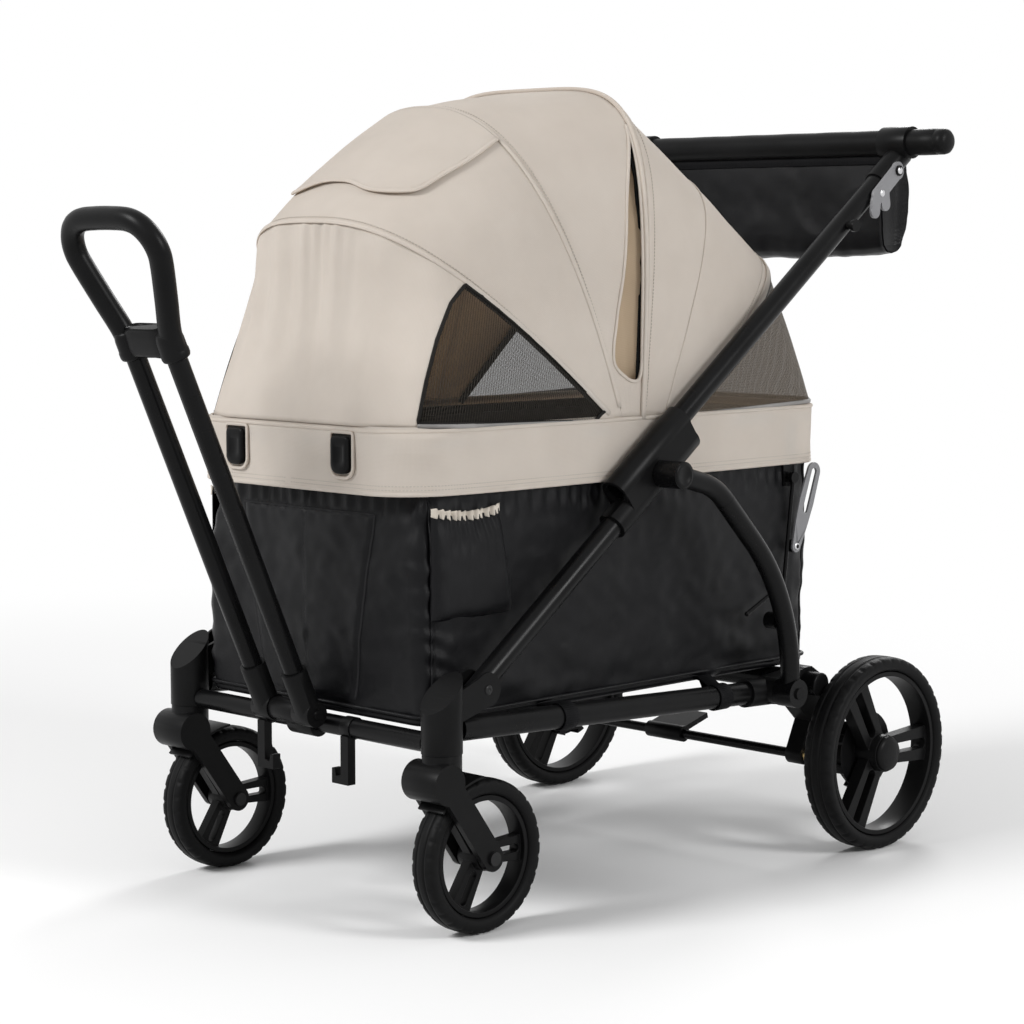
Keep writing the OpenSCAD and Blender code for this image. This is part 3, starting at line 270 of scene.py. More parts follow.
thread_cream = grained("thread_cream", (0.45, 0.4, 0.345), (0.56, 0.51, 0.45), 0.8, 0.2, 900, 0.3)
thread_black = grained("thread_black", (0.006, 0.006, 0.0065), (0.011, 0.011, 0.012), 0.7, 0.2, 900, 0.3)
zip_dark = grained("zip_dark", (0.006, 0.0055, 0.005), (0.014, 0.0125, 0.011), 0.6, 0.1, 600, 0.2)
zip_grey = grained("zip_grey", (0.16, 0.155, 0.15), (0.28, 0.27, 0.26), 0.5, 0.4, 900, 0.5)
print("skins made")

# %% [markdown]
# The rigid nodes keep their exact meshes. Each gets its finish, and moulded and stamped ones a small bevel
# that rounds the edges as a tool leaves them. A weld first joins the vertices that the file keeps apart.

# %% Finishes for the rigid nodes
RIGID = {
    powder_coat: ["front_cross_tube", "side_tubes", "rear_cross_tube", "brake_bar", "pull_tubes", "diagonals",
                  "push_tubes", "rear_legs", "stays", "rim_frame", "ridge_bow", "mid_bow", "front_bow",
                  "rear_bow"],
    moulded_black: ["hub_left", "hub_right", "rear_brackets", "handle_yoke", "cargo_hooks", "fork_left",
                    "fork_right", "front_rim_left", "front_rim_right", "rear_rim_left", "rear_rim_right",
                    "brake_pedal", "pull_sockets", "sleeves", "push_joints", "striker_posts"],
    dark_steel: ["rear_axles", "front_axle_left", "front_axle_right"],
    plate_grey: ["lever_left", "lever_right", "latch_left", "latch_right"],
}
BEVEL = {moulded_black: 0.0012, plate_grey: 0.0008}


def soften(piece, width):
    piece.modifiers.new("weld", "WELD").merge_threshold = 0.00002
    bevel = piece.modifiers.new("bevel", "BEVEL")
    bevel.width, bevel.segments, bevel.use_clamp_overlap = width, 2, True
    bevel.limit_method, bevel.angle_limit = "ANGLE", math.radians(40)


for finish, names in RIGID.items():
    for name in names:
        nodes[name].data.materials.clear()
        nodes[name].data.materials.append(finish)
        if finish in BEVEL:
            soften(nodes[name], BEVEL[finish])
print("finished", sum(len(n) for n in RIGID.values()), "rigid nodes")

# %% [markdown]
# Cloth, trims and turned pieces are all grids of points that a formula places, because their shapes were
# measured and have to follow the solids. A few helpers join the points, face the skin outward and give
# cloth its thickness.

# %% Meshes
def make_mesh(name, points, faces, finish, uv=None, smooth=True):
    mesh = bpy.data.meshes.new(name)
    mesh.from_pydata([tuple(p) for p in points], [], faces)
    mesh.materials.append(finish)
    if uv is not None:
        layer = mesh.uv_layers.new(name="lengths")
        for loop in mesh.loops:
            layer.data[loop.index].uv = uv[loop.vertex_index]
    if smooth:
        mesh.polygons.foreach_set("use_smooth", [True] * len(mesh.polygons))
    mesh.update()
    return placed(name, mesh)


def grid_faces(rows, cols, wrap=False, ring=False, caps=0):
    """Quads of a grid: wrap and ring join its last column and row to the first, caps close its ends."""
    faces = []
    for i in range(rows if ring else rows - 1):
        here, there = i * cols, (i + 1) % rows * cols
        faces += [(here + j, here + (j + 1) % cols, there + (j + 1) % cols, there + j)
                  for j in range(cols if wrap else cols - 1)]
    if caps:
        ends = tuple(range(cols))[::-1], tuple(range((rows - 1) * cols, rows * cols))
        faces += [end[::caps] for end in ends]
    return faces


def face_outward(piece, centre):
    if sum((poly.center - centre).dot(poly.normal) * poly.area for poly in piece.data.polygons) < 0:
        piece.data.flip_normals()
    return piece


def fix_normals(piece):
    fix = bmesh.new()
    fix.from_mesh(piece.data)
    bmesh.ops.recalc_face_normals(fix, faces=fix.faces)
    fix.to_mesh(piece.data)
    fix.free()
    return piece


def thicken(piece, depth):
    solid = piece.modifiers.new("thickness", "SOLIDIFY")
    solid.thickness, solid.offset = depth, -1
    return piece


# %% [markdown]
# A piece rides on one body of the frame. The rim sinks when the frame folds, and what hangs from it to the
# floor would gather upon the floor; here such a piece only gets a mesh of its own. Shapes are written with a
# few plain curves of a share from 0 to 1.

# %% Bodies and plain curves
CENTRE_Y = -420


def carry(piece, body, gathers=False):
    """Put a piece on a body. A piece that gathers gets a mesh of its own."""
    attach(piece, body)
    if gathers:
        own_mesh(piece)
    return piece


def clamp(x):
    """x, held between 0 and 1."""
    return min(1.0, max(0.0, x))


def hump(x):
    """0 at both ends of a share, and 1 in its middle."""
    return math.sin(math.pi * x)


def waves(x):
    """A wave of length 1."""
    return math.sin(2 * math.pi * x)


def bell(x):
    """1 at 0, falling off on both sides."""
    return math.exp(-x ** 2)


def wrinkle(x, y, z, size, seed=0.0):
    """Smooth noise between about -1 and 1, the same on each run, with folds of that size."""
    return noise.noise(Vector((x / size + seed, y / size, z / size)))


# %% [markdown]
# The hood is stretched over four bows. In the solids each bow is an arch like a rounded rectangle, in a
# plane of its own. The same arches, with more points, carry the cloth here, so the cloth lies where the
# solids are. A bow is the feet's y, the top's y, the top's height and the squareness, or minus the corner's
# radius.

# %% Arches of the hood
HOOD_HALF, HOOD_BASE, FEET_Y, HOOD_MID_Z = 228.0, 639.4, -430, 700


def swung(pivot, radius, angle, feet, squareness):
    a = math.radians(angle)
    return (feet, pivot + radius * math.cos(a), radius * math.sin(a), squareness)


RIDGE = (-405, -387, 446, 4.4)
MIDDLE = swung(-448, 442, 180 - 70.5, -442, 2.5)
FRONT = swung(-448, 440, 180 - 37, -456, 2.8)
BROW = (-470, -831, 6, -108)
REAR = swung(-312, 326, 43, -312, 5)
TAIL = (-298, -7, 6, -54)


def plan_reach(dx, dy, half, deep, corner):
    """How far a ray runs before it meets a rectangle of that half width and depth, with round corners."""
    t = min(half / max(dx, 1e-9), deep / max(dy, 1e-9))
    cx, cy = half - corner, deep - corner
    if dx * t > cx and dy * t > cy:
        a, b, c = dx * dx + dy * dy, dx * cx + dy * cy, cx * cx + cy * cy - corner * corner
        t = (b + math.sqrt(max(b * b - a * c, 0))) / a
    return t


def arch(bow, u, inset=0.0):
    feet, top_y, height, square = bow
    c, s = math.cos(math.pi * u), hump(u)
    rise = math.hypot(top_y - feet, height)
    if square < 0:
        rho = plan_reach(abs(c) * HOOD_HALF, abs(s) * rise, HOOD_HALF, rise, -square)
    else:
        rho = (abs(c) ** square + abs(s) ** square) ** (-1 / square)
    reach = rho * s * (rise - inset) / rise
    return np.array([(HOOD_HALF - inset) * rho * c, feet + (top_y - feet) * reach,
                     HOOD_BASE + height * reach])


def hood_point(p, q, u, v, swell, rise=0.0):
    """A point of the cloth between two bows: u runs across, v from bow to bow, rise lifts it off."""
    lift = swell * hump(v) * hump(u) + rise
    a, b = arch(p, u, -lift), arch(q, u, -lift)
    m = a + (b - a) * v
    out = np.array([m[0] * 1.1, (m[1] - CENTRE_Y) * 0.6, m[2] - HOOD_MID_Z])
    out = out / max(np.linalg.norm(out), 1e-6)
    edge = min(1.0, 6 * v, 6 * (1 - v), 9 * min(u, 1 - u) + 0.1)
    back, high = m[1] - FEET_Y, m[2] - HOOD_BASE
    low = math.exp(-max(high, 0) / 70)
    fan = math.sin(24 * math.atan2(high, -back) + 3 * wrinkle(*m, 60, 1.7))
    pleat = 2.8 * math.exp(-max(math.hypot(back, high) - 60, 0) / 70) * fan
    folds = 2.0 * wrinkle(*m, 80) + 2.2 * low * wrinkle(m[0], m[1] * 2.2, m[2] * 0.5, 60, 3.1) + pleat
    return m + out * folds * edge * (0.25 + 0.75 * hump(clamp(u)))


print("arch tops", [[round(c) for c in arch(b, 0.5)] for b in (RIDGE, MIDDLE, FRONT, REAR)])

# %% [markdown]
# The front face has a net window on each side, and the narrow panel ahead of the ridge an open slit. A hole
# is cut on the flat pattern before it is bent into shape, as a tailor does: the flat grid is split along
# the hole's edges, the faces inside become a second piece, and both are then laid on the arches.

# %% Cut cloth on the flat pattern
def inside(point, loop):
    hit = False
    for (x0, y0), (x1, y1) in zip(loop, loop[1:] + loop[:1]):
        if (y0 > point[1]) != (y1 > point[1]) and point[0] < (x1 - x0) * (point[1] - y0) / (y1 - y0) + x0:
            hit = not hit
    return hit


def cut_pattern(cols, rows, holes=(), top=1.0):
    flat = bmesh.new()
    grid = [[flat.verts.new((j / cols, top * i / rows, 0)) for j in range(cols + 1)] for i in range(rows + 1)]
    for i in range(rows):
        for j in range(cols):
            flat.faces.new((grid[i][j], grid[i][j + 1], grid[i + 1][j + 1], grid[i + 1][j]))
    for loop in holes:
        low, high = np.min(loop, axis=0) - 0.03, np.max(loop, axis=0) + 0.03
        for a, b in zip(loop, loop[1:] + loop[:1]):
            a, b = Vector((*a, 0)), Vector((*b, 0))
            near = [f for f in flat.faces if low[0] < f.calc_center_median().x < high[0]
                    and low[1] < f.calc_center_median().y < high[1]]
            geometry = near + list({e for f in near for e in f.edges})
            geometry += list({w for f in near for w in f.verts})
            normal = (b - a).cross(Vector((0, 0, 1))).normalized()
            bmesh.ops.bisect_plane(flat, geom=geometry, plane_co=a, plane_no=normal, dist=1e-6)
    flat.verts.index_update()
    points = [(w.co.x, w.co.y) for w in flat.verts]
    kept, dropped = [], []
    for f in flat.faces:
        c = f.calc_center_median()
        target = dropped if any(inside((c.x, c.y), loop) for loop in holes) else kept
        target.append([w.index for w in f.verts])
    flat.free()
    return points, kept, dropped


def hang(piece):
    """Hang a piece: its place is baked into its mesh, and it rides no body."""
    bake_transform(piece)


def panel(name, pattern, faces, place, finish, size, node=None, thick=0.0):
    """Cloth laid from its flat pattern, with its place baked in. It stands for a node, if one is named."""
    used = sorted({i for f in faces for i in f})
    new = {i: k for k, i in enumerate(used)}
    flat = [pattern[i] for i in used]
    piece = make_mesh(name, [at(*place(u, v)) for u, v in flat], [[new[i] for i in f] for f in faces], finish,
                      [(u * size[0], v * size[1]) for u, v in flat])
    hang(face_outward(piece, at(0, CENTRE_Y, HOOD_MID_Z)))
    if node:
        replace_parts(piece, node)
    if thick:
        thicken(piece, thick)
    return piece


# %% [markdown]
# The size of each sheet's flat cut is printed. The cloth is laid without stretch, so the cut is measured
# on it: the longest line across, the longest line along, and the area of its faces.

# %% Flat sizes of the cloth
def line_length(line):
    return sum(np.linalg.norm(np.array(b) - np.array(a)) for a, b in zip(line, line[1:]))


def longest(lines):
    return max(line_length(line) for line in lines) / MM


def declare(piece, place, held, u=(0.0, 1.0), v=(0.0, 1.0)):
    us, vs = np.linspace(*u, 61), np.linspace(*v, 41)
    across = longest([[place(a, b) for a in us] for b in vs[::8]])
    along = longest([[place(a, b) for b in vs] for a in us[::6]])
    area = sum(poly.area for poly in piece.data.polygons)
    area = min(max(area, 0.3 * across * along), across * along)
    print("sheet", piece.name, round(across, 3), "by", round(along, 3), "m, area", round(area, 4), held)


# %% [markdown]
# The front face leans from the front bow down to the skirt, with a net triangle on each side below the bow.
# The window's outline was read in the photograph and carried to the face's two shares.

# %% Front face and its windows
CREAM_THICK, FACE_SWELL = 0.0018, 8
WINDOW_U, WINDOW_V = (0.018, 0.252), (0.02, 0.975)


def mirrored(loop):
    return [(1 - u, v) for u, v in loop]


def face_place(u, v, rise=0.0):
    """The face hangs from the front bow: drawn in half-way down, with pleats and soft folds."""
    front = clamp((hump(u) - 0.66) / 0.2)
    pleat = 4.2 * math.exp(-v / 0.2) * bell((u - 0.46) / 0.06) * waves(36 * u)
    swing = math.sin(2 * math.pi * 12 * u + 1.3 + 1.5 * wrinkle(u * 300, v * 200, 0, 90))
    soft = 3.6 * bell((v - 0.3) / 0.4) * swing * front
    drawn = -17.0 * front * hump(min(1, v) ** 0.9) ** 1.3
    ease = min(1, 25 * v) * min(1, 8 * (1 - v))
    return hood_point(FRONT, BROW, u, v, FACE_SWELL, rise + drawn + (pleat + soft) * ease)


LEFT_WINDOW = [(0.018, 0.03), (0.222, 0.02), (0.236, 0.2), (0.245, 0.45), (0.25, 0.72), (0.252, 0.975),
               (0.15, 0.975), (0.024, 0.975)]
WINDOWS = [LEFT_WINDOW, mirrored(LEFT_WINDOW)]
FACE, FACE_CUT = ("front_hood", "front_face"), (0.95, 0.3)
pattern, kept, dropped = cut_pattern(168, 40, WINDOWS)
front_face = panel("front_face_cloth", pattern, kept, face_place, cream_cloth, FACE_CUT,
                   "front_face_panel", CREAM_THICK)
front_nets = panel("front_window_nets", pattern, dropped, lambda u, v: face_place(u, v, -1.0), window_net,
                   FACE_CUT)
declare(front_face, face_place, "stretched")
declare(front_nets, face_place, "stretched", WINDOW_U, WINDOW_V)

# %% [markdown]
# Between the front bow and the middle bow the cloth is one plain panel. Between the middle bow and the
# ridge it opens in a slit on each side, through which the tan lining shows. The rear half is a panel from
# the ridge back to the rear bow, and below that bow a net closes the tail. The lining hangs a little below
# the outer cloth.

# %% The other panels of the hood
TOP_SWELL, SLIT_SWELL, REAR_SWELL, TAIL_SWELL = 8, 2, 4, 2
LINING_END = 0.92


def between(first, second, swell):
    """The cloth between two bows, as a function of its two shares and a rise."""
    return lambda u, v, rise=0.0: hood_point(first, second, u, v, swell, rise)


top_place, slit_place = between(MIDDLE, FRONT, TOP_SWELL), between(RIDGE, MIDDLE, SLIT_SWELL)
rear_place, tail_place = between(RIDGE, REAR, REAR_SWELL), between(REAR, TAIL, TAIL_SWELL)


def lining_place(u, v):
    return slit_place(u, v, -4 - 12 * min(1, v / 0.2) - 60 * max(0, hump(u) - 0.52))


LEFT_SLIT = [(0.262, 0.02), (0.248, 0.045), (0.227, 0.105), (0.196, 0.2), (0.164, 0.27), (0.132, 0.38),
             (0.098, 0.58), (0.072, 0.76), (0.056, 0.82), (0.045, 0.66), (0.038, 0.4), (0.038, 0.16),
             (0.05, 0.06), (0.08, 0.048), (0.14, 0.045), (0.2, 0.035)]
SLITS = [LEFT_SLIT, mirrored(LEFT_SLIT)]
TOP, SLIT = ("mid_hood", "front_hood"), ("rim", "mid_hood")
BACK, TAIL_BODIES = ("rim", "rear_hood"), ("rear_hood", "rear_tail")
cream, net = (cream_cloth, "cloth_cream", CREAM_THICK), (tail_brown, "net_brown", 0.0)
tan, stretched = (tan_lining, "cloth_cream", 0.0), "stretched"
for name, cut, place, (finish, slot, thick), size, bodies, node, held, rests_on in (
        ("front_top_cloth", (96, 24), top_place, cream, (1.1, 0.26), TOP, "front_top_panel", stretched,
         ["mid_bow", "front_bow"]),
        ("slit_panel_cloth", (110, 22, SLITS), slit_place, cream, (1.2, 0.2), SLIT, "mid_panel", stretched,
         ["ridge_bow", "mid_bow"]),
        ("rear_cloth", (96, 30), rear_place, cream, (1.2, 0.38), BACK, "rear_panel", stretched,
         ["ridge_bow", "rear_bow"]),
        ("tail_net", (80, 20), tail_place, net, (0.95, 0.23), TAIL_BODIES, "rear_mesh", stretched,
         ["rear_bow", "skirt_cloth"]),
        ("hood_lining", (72, 10, (), LINING_END), lining_place, tan, (1.2, 0.2), SLIT, None, "hung",
         ["ridge_bow", "mid_bow"])):
    pattern, kept, _ = cut_pattern(*cut)
    piece = panel(name, pattern, kept, place, finish, size, node, thick)
    declare(piece, place, held, v=(0.0, LINING_END if name == "hood_lining" else 1.0))

# %% [markdown]
# Soft trims, pipings and bars are all a round or flat section swept along a path. The sweep carries its
# frame from point to point, so that it doesn't twist. On a cloth, the path and its outward directions come
# from the cloth's own function.

# %% Sweep along a path
def sweep(name, path, section, finish, closed=False, up=None):
    path = [Vector(p) for p in path]
    count, sides = len(path), len(section)
    points, side = [], None
    for i, p in enumerate(path):
        ahead = path[(i + 1) % count] if closed or i < count - 1 else p
        behind = path[i - 1] if closed or i > 0 else p
        tangent = (ahead - behind).normalized()
        guide = up[i] if up is not None else (side if side is not None else tangent.orthogonal())
        side = (Vector(guide) - tangent * tangent.dot(Vector(guide))).normalized()
        other = tangent.cross(side)
        points += [p + side * a + other * b for a, b in section]
    run = np.cumsum([0] + [(b - a).length for a, b in zip(path, path[1:])])
    uv = [(j / sides * 0.02, run[i]) for i in range(count) for j in range(sides)]
    faces = grid_faces(count, sides, wrap=True, ring=closed, caps=0 if closed else 1)
    return fix_normals(make_mesh(name, points, faces, finish, uv))


def smooth_line(points, steps, closed=False):
    """A smooth curve through all the points, with that many steps from one to the next."""
    points = [Vector(p) for p in points]
    n, line = len(points), []
    for i in range(n if closed else n - 1):
        a = points[(i - 1) % n] if closed or i > 0 else points[0] * 2 - points[1]
        b, c = points[i], points[(i + 1) % n]
        d = points[(i + 2) % n] if closed or i + 2 < n else c * 2 - b
        for t in np.arange(steps) / steps:
            line.append(0.5 * ((2 * b) + (c - a) * t + (2 * a - 5 * b + 4 * c - d) * t * t
                               + (3 * b - a - 3 * c + d) * t ** 3))
    return line if closed else line + [points[-1]]


def ring(radius, sides=8):
    turns = [2 * math.pi * k / sides for k in range(sides)]
    return [(radius * math.cos(a), radius * math.sin(a)) for a in turns]


def strap(wide, thick):
    w, t, r = wide / 2, thick / 2, min(thick * 0.45, wide * 0.2)
    return [(-t, -w + r), (-t + r, -w), (t - r, -w), (t, -w + r),
            (t, w - r), (t - r, w), (-t + r, w), (-t, w - r)]


def on_cloth(place, line, lift, depth):
    """The path of a line on a cloth, and the cloth's outward direction along it."""
    path = [at(*place(u, v, lift)) for u, v in line]
    return path, [Vector(place(u, v, lift) - place(u, v, lift - depth)) for u, v in line]


def level(v, u0, u1, count):
    """A line across the cloth at one share v."""
    return [(u, v) for u in np.linspace(u0, u1, count)]


def trim(name, line, place, section, finish, bodies, lift=0.4, depth=12, closed=False):
    """A strip on a cloth. It rides one body, or, given two, has its place baked in as the cloth does."""
    path, up = on_cloth(place, line, lift, depth)
    piece = sweep(name, path, section, finish, closed, up)
    if isinstance(bodies, str):
        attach(piece, bodies)
    else:
        hang(piece)
    return piece


# %% [markdown]
# A sewn line is a row of short stitches. Each stitch is a low bar with sloping ends, and all stitches of
# one line are one mesh, so that a long seam stays one piece.

# %% Rows of stitches
STITCH_PITCH, STITCH_LONG, STITCH_WIDE, STITCH_HIGH = 0.0046, 0.0031, 0.0009, 0.0008


def stitches(name, path, up, body):
    run = np.concatenate([[0], np.cumsum([(b - a).length for a, b in zip(path, path[1:])])])
    points, faces = [], []
    for t in np.arange(STITCH_PITCH / 2, run[-1] - STITCH_LONG, STITCH_PITCH):
        i = min(int(np.searchsorted(run, t, side="right")) - 1, len(path) - 2)
        p = path[i].lerp(path[i + 1], (t - run[i]) / max(run[i + 1] - run[i], 1e-9))
        along = (path[i + 1] - path[i]).normalized()
        out = (up[i] - along * up[i].dot(along)).normalized()
        side, high = along.cross(out) * STITCH_WIDE / 2, out * STITCH_HIGH
        near, far, end = (p + along * STITCH_LONG * share for share in (0.2, 0.8, 1.0))
        k = len(points)
        points += [p - side, p + side, near + side + high, near - side + high,
                   far - side + high, far + side + high, end + side, end - side]
        faces += [(k, k + 1, k + 2, k + 3), (k + 3, k + 2, k + 5, k + 4), (k + 4, k + 5, k + 6, k + 7),
                  (k, k + 3, k + 4, k + 7), (k + 1, k + 6, k + 5, k + 2)]
    return carry(make_mesh(name, points, faces, thread_cream, smooth=False), body)


# %% [markdown]
# Where two panels meet, the seam allowance is folded over and sewn down. It shows as a low raised band. The
# ridge carries two pipings, one at each side of the slit's edge.

# %% Seams of the hood
SEAM_POINTS = 121


def bow_seam(name, bow, body, wide, thick, rise, u0=0.0):
    trim(name, level(0.0, u0, 1 - u0, SEAM_POINTS), lambda u, v, lift: arch(bow, u, -lift),
         strap(wide, thick), cream_cloth, body, rise, rise + 20)


bow_seam("front_seam", FRONT, "front_hood", 0.0075, 0.003, 0.6, 0.012)
bow_seam("middle_seam", MIDDLE, "mid_hood", 0.0075, 0.003, 0.6, 0.014)
bow_seam("ridge_piping", RIDGE, "rim", 0.006, 0.0055, 1.8)
trim("ridge_second_piping", level(0.03, 0, 1, SEAM_POINTS), between(RIDGE, REAR, 0), strap(0.006, 0.005),
     cream_cloth, "rim", 1.4, 20)
bow_seam("rear_hem", REAR, "rear_hood", 0.012, 0.003, 0.5)
for name, first, second, v, body, swell in (
        ("front_seam_stitches", FRONT, MIDDLE, 0.03, "front_hood", TOP_SWELL),
        ("middle_seam_stitches", MIDDLE, RIDGE, 0.04, "mid_hood", SLIT_SWELL),
        ("ridge_stitches", RIDGE, REAR, 0.085, "rim", REAR_SWELL),
        ("rear_hem_stitches", REAR, RIDGE, 0.05, "rear_hood", REAR_SWELL)):
    stitches(name, *on_cloth(between(first, second, swell), level(v, 0.01, 0.99, 160), 0.3, 15), body)
trim("rear_seam", level(0.5, 0.01, 0.99, 120), rear_place, strap(0.004, 0.0016), cream_cloth,
     BACK, 0.5, 15.5)
print("hood seams made")

# %% [markdown]
# The viewing flap lies on the front top, sewn along the middle bow and free at its scalloped front edge. It
# is cut from the same flat pattern as the panel below it, laid a little higher, and its edge is bound by a
# narrow hem.

# %% Viewing flap
half_edge = [(0.467, 0.705), (0.418, 0.745), (0.384, 0.737), (0.356, 0.691), (0.341, 0.63), (0.333, 0.492),
             (0.323, 0.265)]
FLAP = [(0.319, 0.012)] + half_edge[::-1] + [(0.5, 0.696)] + mirrored(half_edge) + [(0.681, 0.012)]


def flap_place(u, v, more=0.0):
    sag = 2.2 * waves(5 * (u - 0.5)) * v * v
    return top_place(u, v, 2.4 + 2.6 * v + sag + more)


def rounded(loop, steps, closed=False):
    return [(p.x, p.y) for p in smooth_line([(u, v, 0) for u, v in loop], steps, closed)]


pattern, _, dropped = cut_pattern(130, 44, [FLAP])
flap = panel("viewing_flap", pattern, dropped, flap_place, cream_cloth, (1.1, 0.26),
             thick=0.0022)
flap_hem = trim("viewing_flap_hem", rounded(FLAP, 8), flap_place, strap(0.0065, 0.0036), cream_cloth,
                TOP, 0.3, 12.3)
declare(flap, flap_place, "laid", (0.32, 0.68), (0.012, 0.745))

# %% [markdown]
# Each net is bound by a dark edging, and a grey zip runs along the lower edge of the side windows. The slit
# has a turned edge in cream. All of them follow the outlines that the cloth was cut to.

# %% Edgings of the windows and slits
ZIP = strap(0.006, 0.003)


def straight(loop, step=0.02):
    line = []
    for a, b in zip(loop, loop[1:] + loop[:1]):
        n = max(1, int(math.hypot(b[0] - a[0], b[1] - a[1]) / step))
        line += [(a[0] + (b[0] - a[0]) * k / n, a[1] + (b[1] - a[1]) * k / n) for k in range(n)]
    return line


for (label, side), window in zip(SIDES, WINDOWS):
    trim(f"window_edging_{label}", straight(window), face_place, strap(0.0052, 0.0026), zip_dark,
         FACE, closed=True)
    low = level(0.99, window[5][0], window[7][0] + side * 0.006, 40)
    trim(f"window_zip_{label}", low, face_place, ZIP, zip_grey, FACE, 0.8)
for (label, _), slit in zip(SIDES, SLITS):
    trim(f"slit_edge_{label}", rounded(slit, 6, True), slit_place, strap(0.0046, 0.0032), cream_cloth,
         SLIT, closed=True)
for name, v, section, finish in (("tail_zip", 0.985, ZIP, zip_grey),
                                 ("tail_edging", 0.03, strap(0.006, 0.0026), zip_dark)):
    trim(name, level(v, 0.02, 0.98, 120), tail_place, section, finish, TAIL_BODIES)
print("edgings made")

# %% [markdown]
# The skirt is the cream band round the rim. It is a wall that follows a rounded rectangle, with a rolled
# hem below and a sewn seam above. A shared outline function gives the skirt, the tub and their trims.

# %% Outline of the tub and the skirt
HEM, RIM_Z = 559.0, 639
SKIRT_FRONT = -833.5


def outline(half, front, rear, corner, count):
    """Points round a rounded rectangle, their normals and lengths, from the front's middle leftwards."""
    first, last = corner
    corners = [(half - first, front + first, -90, first), (half - last, rear - last, 0, last),
               (-half + last, rear - last, 90, last), (-half + first, front + first, 180, first)]
    start = [((0.0, front), (0.0, -1.0))]
    dense = list(start)
    for cx, cy, a0, r in corners:
        for a in np.radians(a0 + 90 * np.arange(25) / 24):
            dense.append(((cx + r * math.cos(a), cy + r * math.sin(a)), (math.cos(a), math.sin(a))))
    p, n = (np.array([d[k] for d in dense + start]) for k in (0, 1))
    run = np.concatenate([[0], np.cumsum(np.linalg.norm(np.diff(p, axis=0), axis=1))])
    t = np.linspace(0, run[-1], count + 1)[:-1]
    points, normals = (np.stack([np.interp(t, run, w[:, 0]), np.interp(t, run, w[:, 1])], 1) for w in (p, n))
    return points, normals / np.linalg.norm(normals, axis=1, keepdims=True), t


def perimeter(loop):
    """The whole way round in metres: the last point lies one step before the first."""
    count = len(loop[2])
    return loop[2][-1] / MM * count / (count - 1)


def wall(name, loop, heights, shift, finish):
    """Cloth wall round an outline: shift(run, z, point) moves a point out of the outline by millimetres."""
    verts = [at(*(p + n * shift(t, z, p)), z) for z in heights for p, n, t in zip(*loop)]
    uv = [(t / MM, z / MM) for z in heights for t in loop[2]]
    piece = make_mesh(name, verts, grid_faces(len(heights), len(loop[2]), wrap=True), finish, uv)
    return face_outward(piece, at(0, CENTRE_Y, float(np.mean(heights))))


def round_path(loop, z, out, shift):
    path = [at(*(p + n * (out + shift(t, z, p))), z) for p, n, t in zip(*loop)]
    return path, [Vector((*n, 0)) for n in loop[1]]


def round_trim(name, loop, z, out, section, finish, body, shift):
    path, up = round_path(loop, z, out, shift)
    carry(sweep(name, path, section, finish, True, up), body)


def front_corner(p):
    """1 at the tub's two front corners, and 0 away from them."""
    return math.exp(-(((abs(p[0]) - 222) ** 2 + (p[1] + 800) ** 2) / 55.0 ** 2))


def skirt_shift(t, z, p):
    share = (z - HEM) / (RIM_Z - HEM)
    drawn = front_corner(p) * (16.0 * max(0.0, 0.68 - share) + 11.0 * clamp((z - 635) / 8))
    belly = -drawn - 1.2 * hump(min(share, 1)) - 0.65 * max(0, z - 638)
    sway = 2.2 * min(0.1, wrinkle(p[0], p[1], z * 2, 70, 5.0) - 0.2) * (1 - 0.5 * min(share, 1))
    return belly + sway


skirt_loop = outline(230.6, SKIRT_FRONT, -4.5, (74.2, 56), 400)
skirt = wall("skirt_cloth", skirt_loop, np.linspace(HEM, 646, 30), skirt_shift, cream_cloth)
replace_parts(skirt, "skirt")
carry(thicken(skirt, 0.003), "rim")
round_trim("skirt_hem", skirt_loop, HEM + 2.5, -1.1, strap(0.006, 0.0034), cream_cloth, "rim",
           skirt_shift)
for name, above in (("skirt_hem_stitches", 8.0), ("skirt_hem_second_stitches", 13.0)):
    stitches(name, *round_path(skirt_loop, HEM + above, -0.2, skirt_shift), "rim")
round_trim("skirt_top_seam", skirt_loop, 640.5, 0.4, ring(0.003), cream_cloth, "rim",
           skirt_shift)
print("skirt", len(skirt.data.polygons), "faces, cut", round(float(perimeter(skirt_loop)), 3), "by 0.09 m")

# %% [markdown]
# Two moulded tabs on the front of the skirt hold the rolled-up face. Each sits in a stitched slot: above it a
# dark patch painted as the shade inside the slot's opening, then the rounded tab, and a turned cream edge
# round it. The tab is a stack of rounded outlines.

# %% Tabs on the skirt
def pill(half_w, half_h, top_r, low_r, steps=8):
    """A rectangle with round corners, of one radius above and another below."""
    spots = []
    for a0, r, left, low in ((0, top_r, 1, 1), (90, top_r, -1, 1), (180, low_r, -1, -1), (270, low_r, 1, -1)):
        for k in range(steps + 1):
            a = math.radians(a0 + 90 * k / steps)
            spots.append((left * (half_w - r) + r * math.cos(a), low * (half_h - r) + r * math.sin(a)))
    return spots


def stack(name, x, z, layers, finish):
    """A low moulding on the skirt's front: layers of (depth, pill) from the wall outwards."""
    loops = [[at(x + a, SKIRT_FRONT - depth, z + b) for a, b in pill(*sizes)] for depth, *sizes in layers]
    rows, n = len(loops), len(loops[0])
    faces = grid_faces(rows, n, wrap=True) + [tuple(range((rows - 1) * n, rows * n))]
    piece = make_mesh(name, [p for loop in loops for p in loop], faces, finish)
    carry(face_outward(piece, at(x, SKIRT_FRONT + 20, z)), "rim")


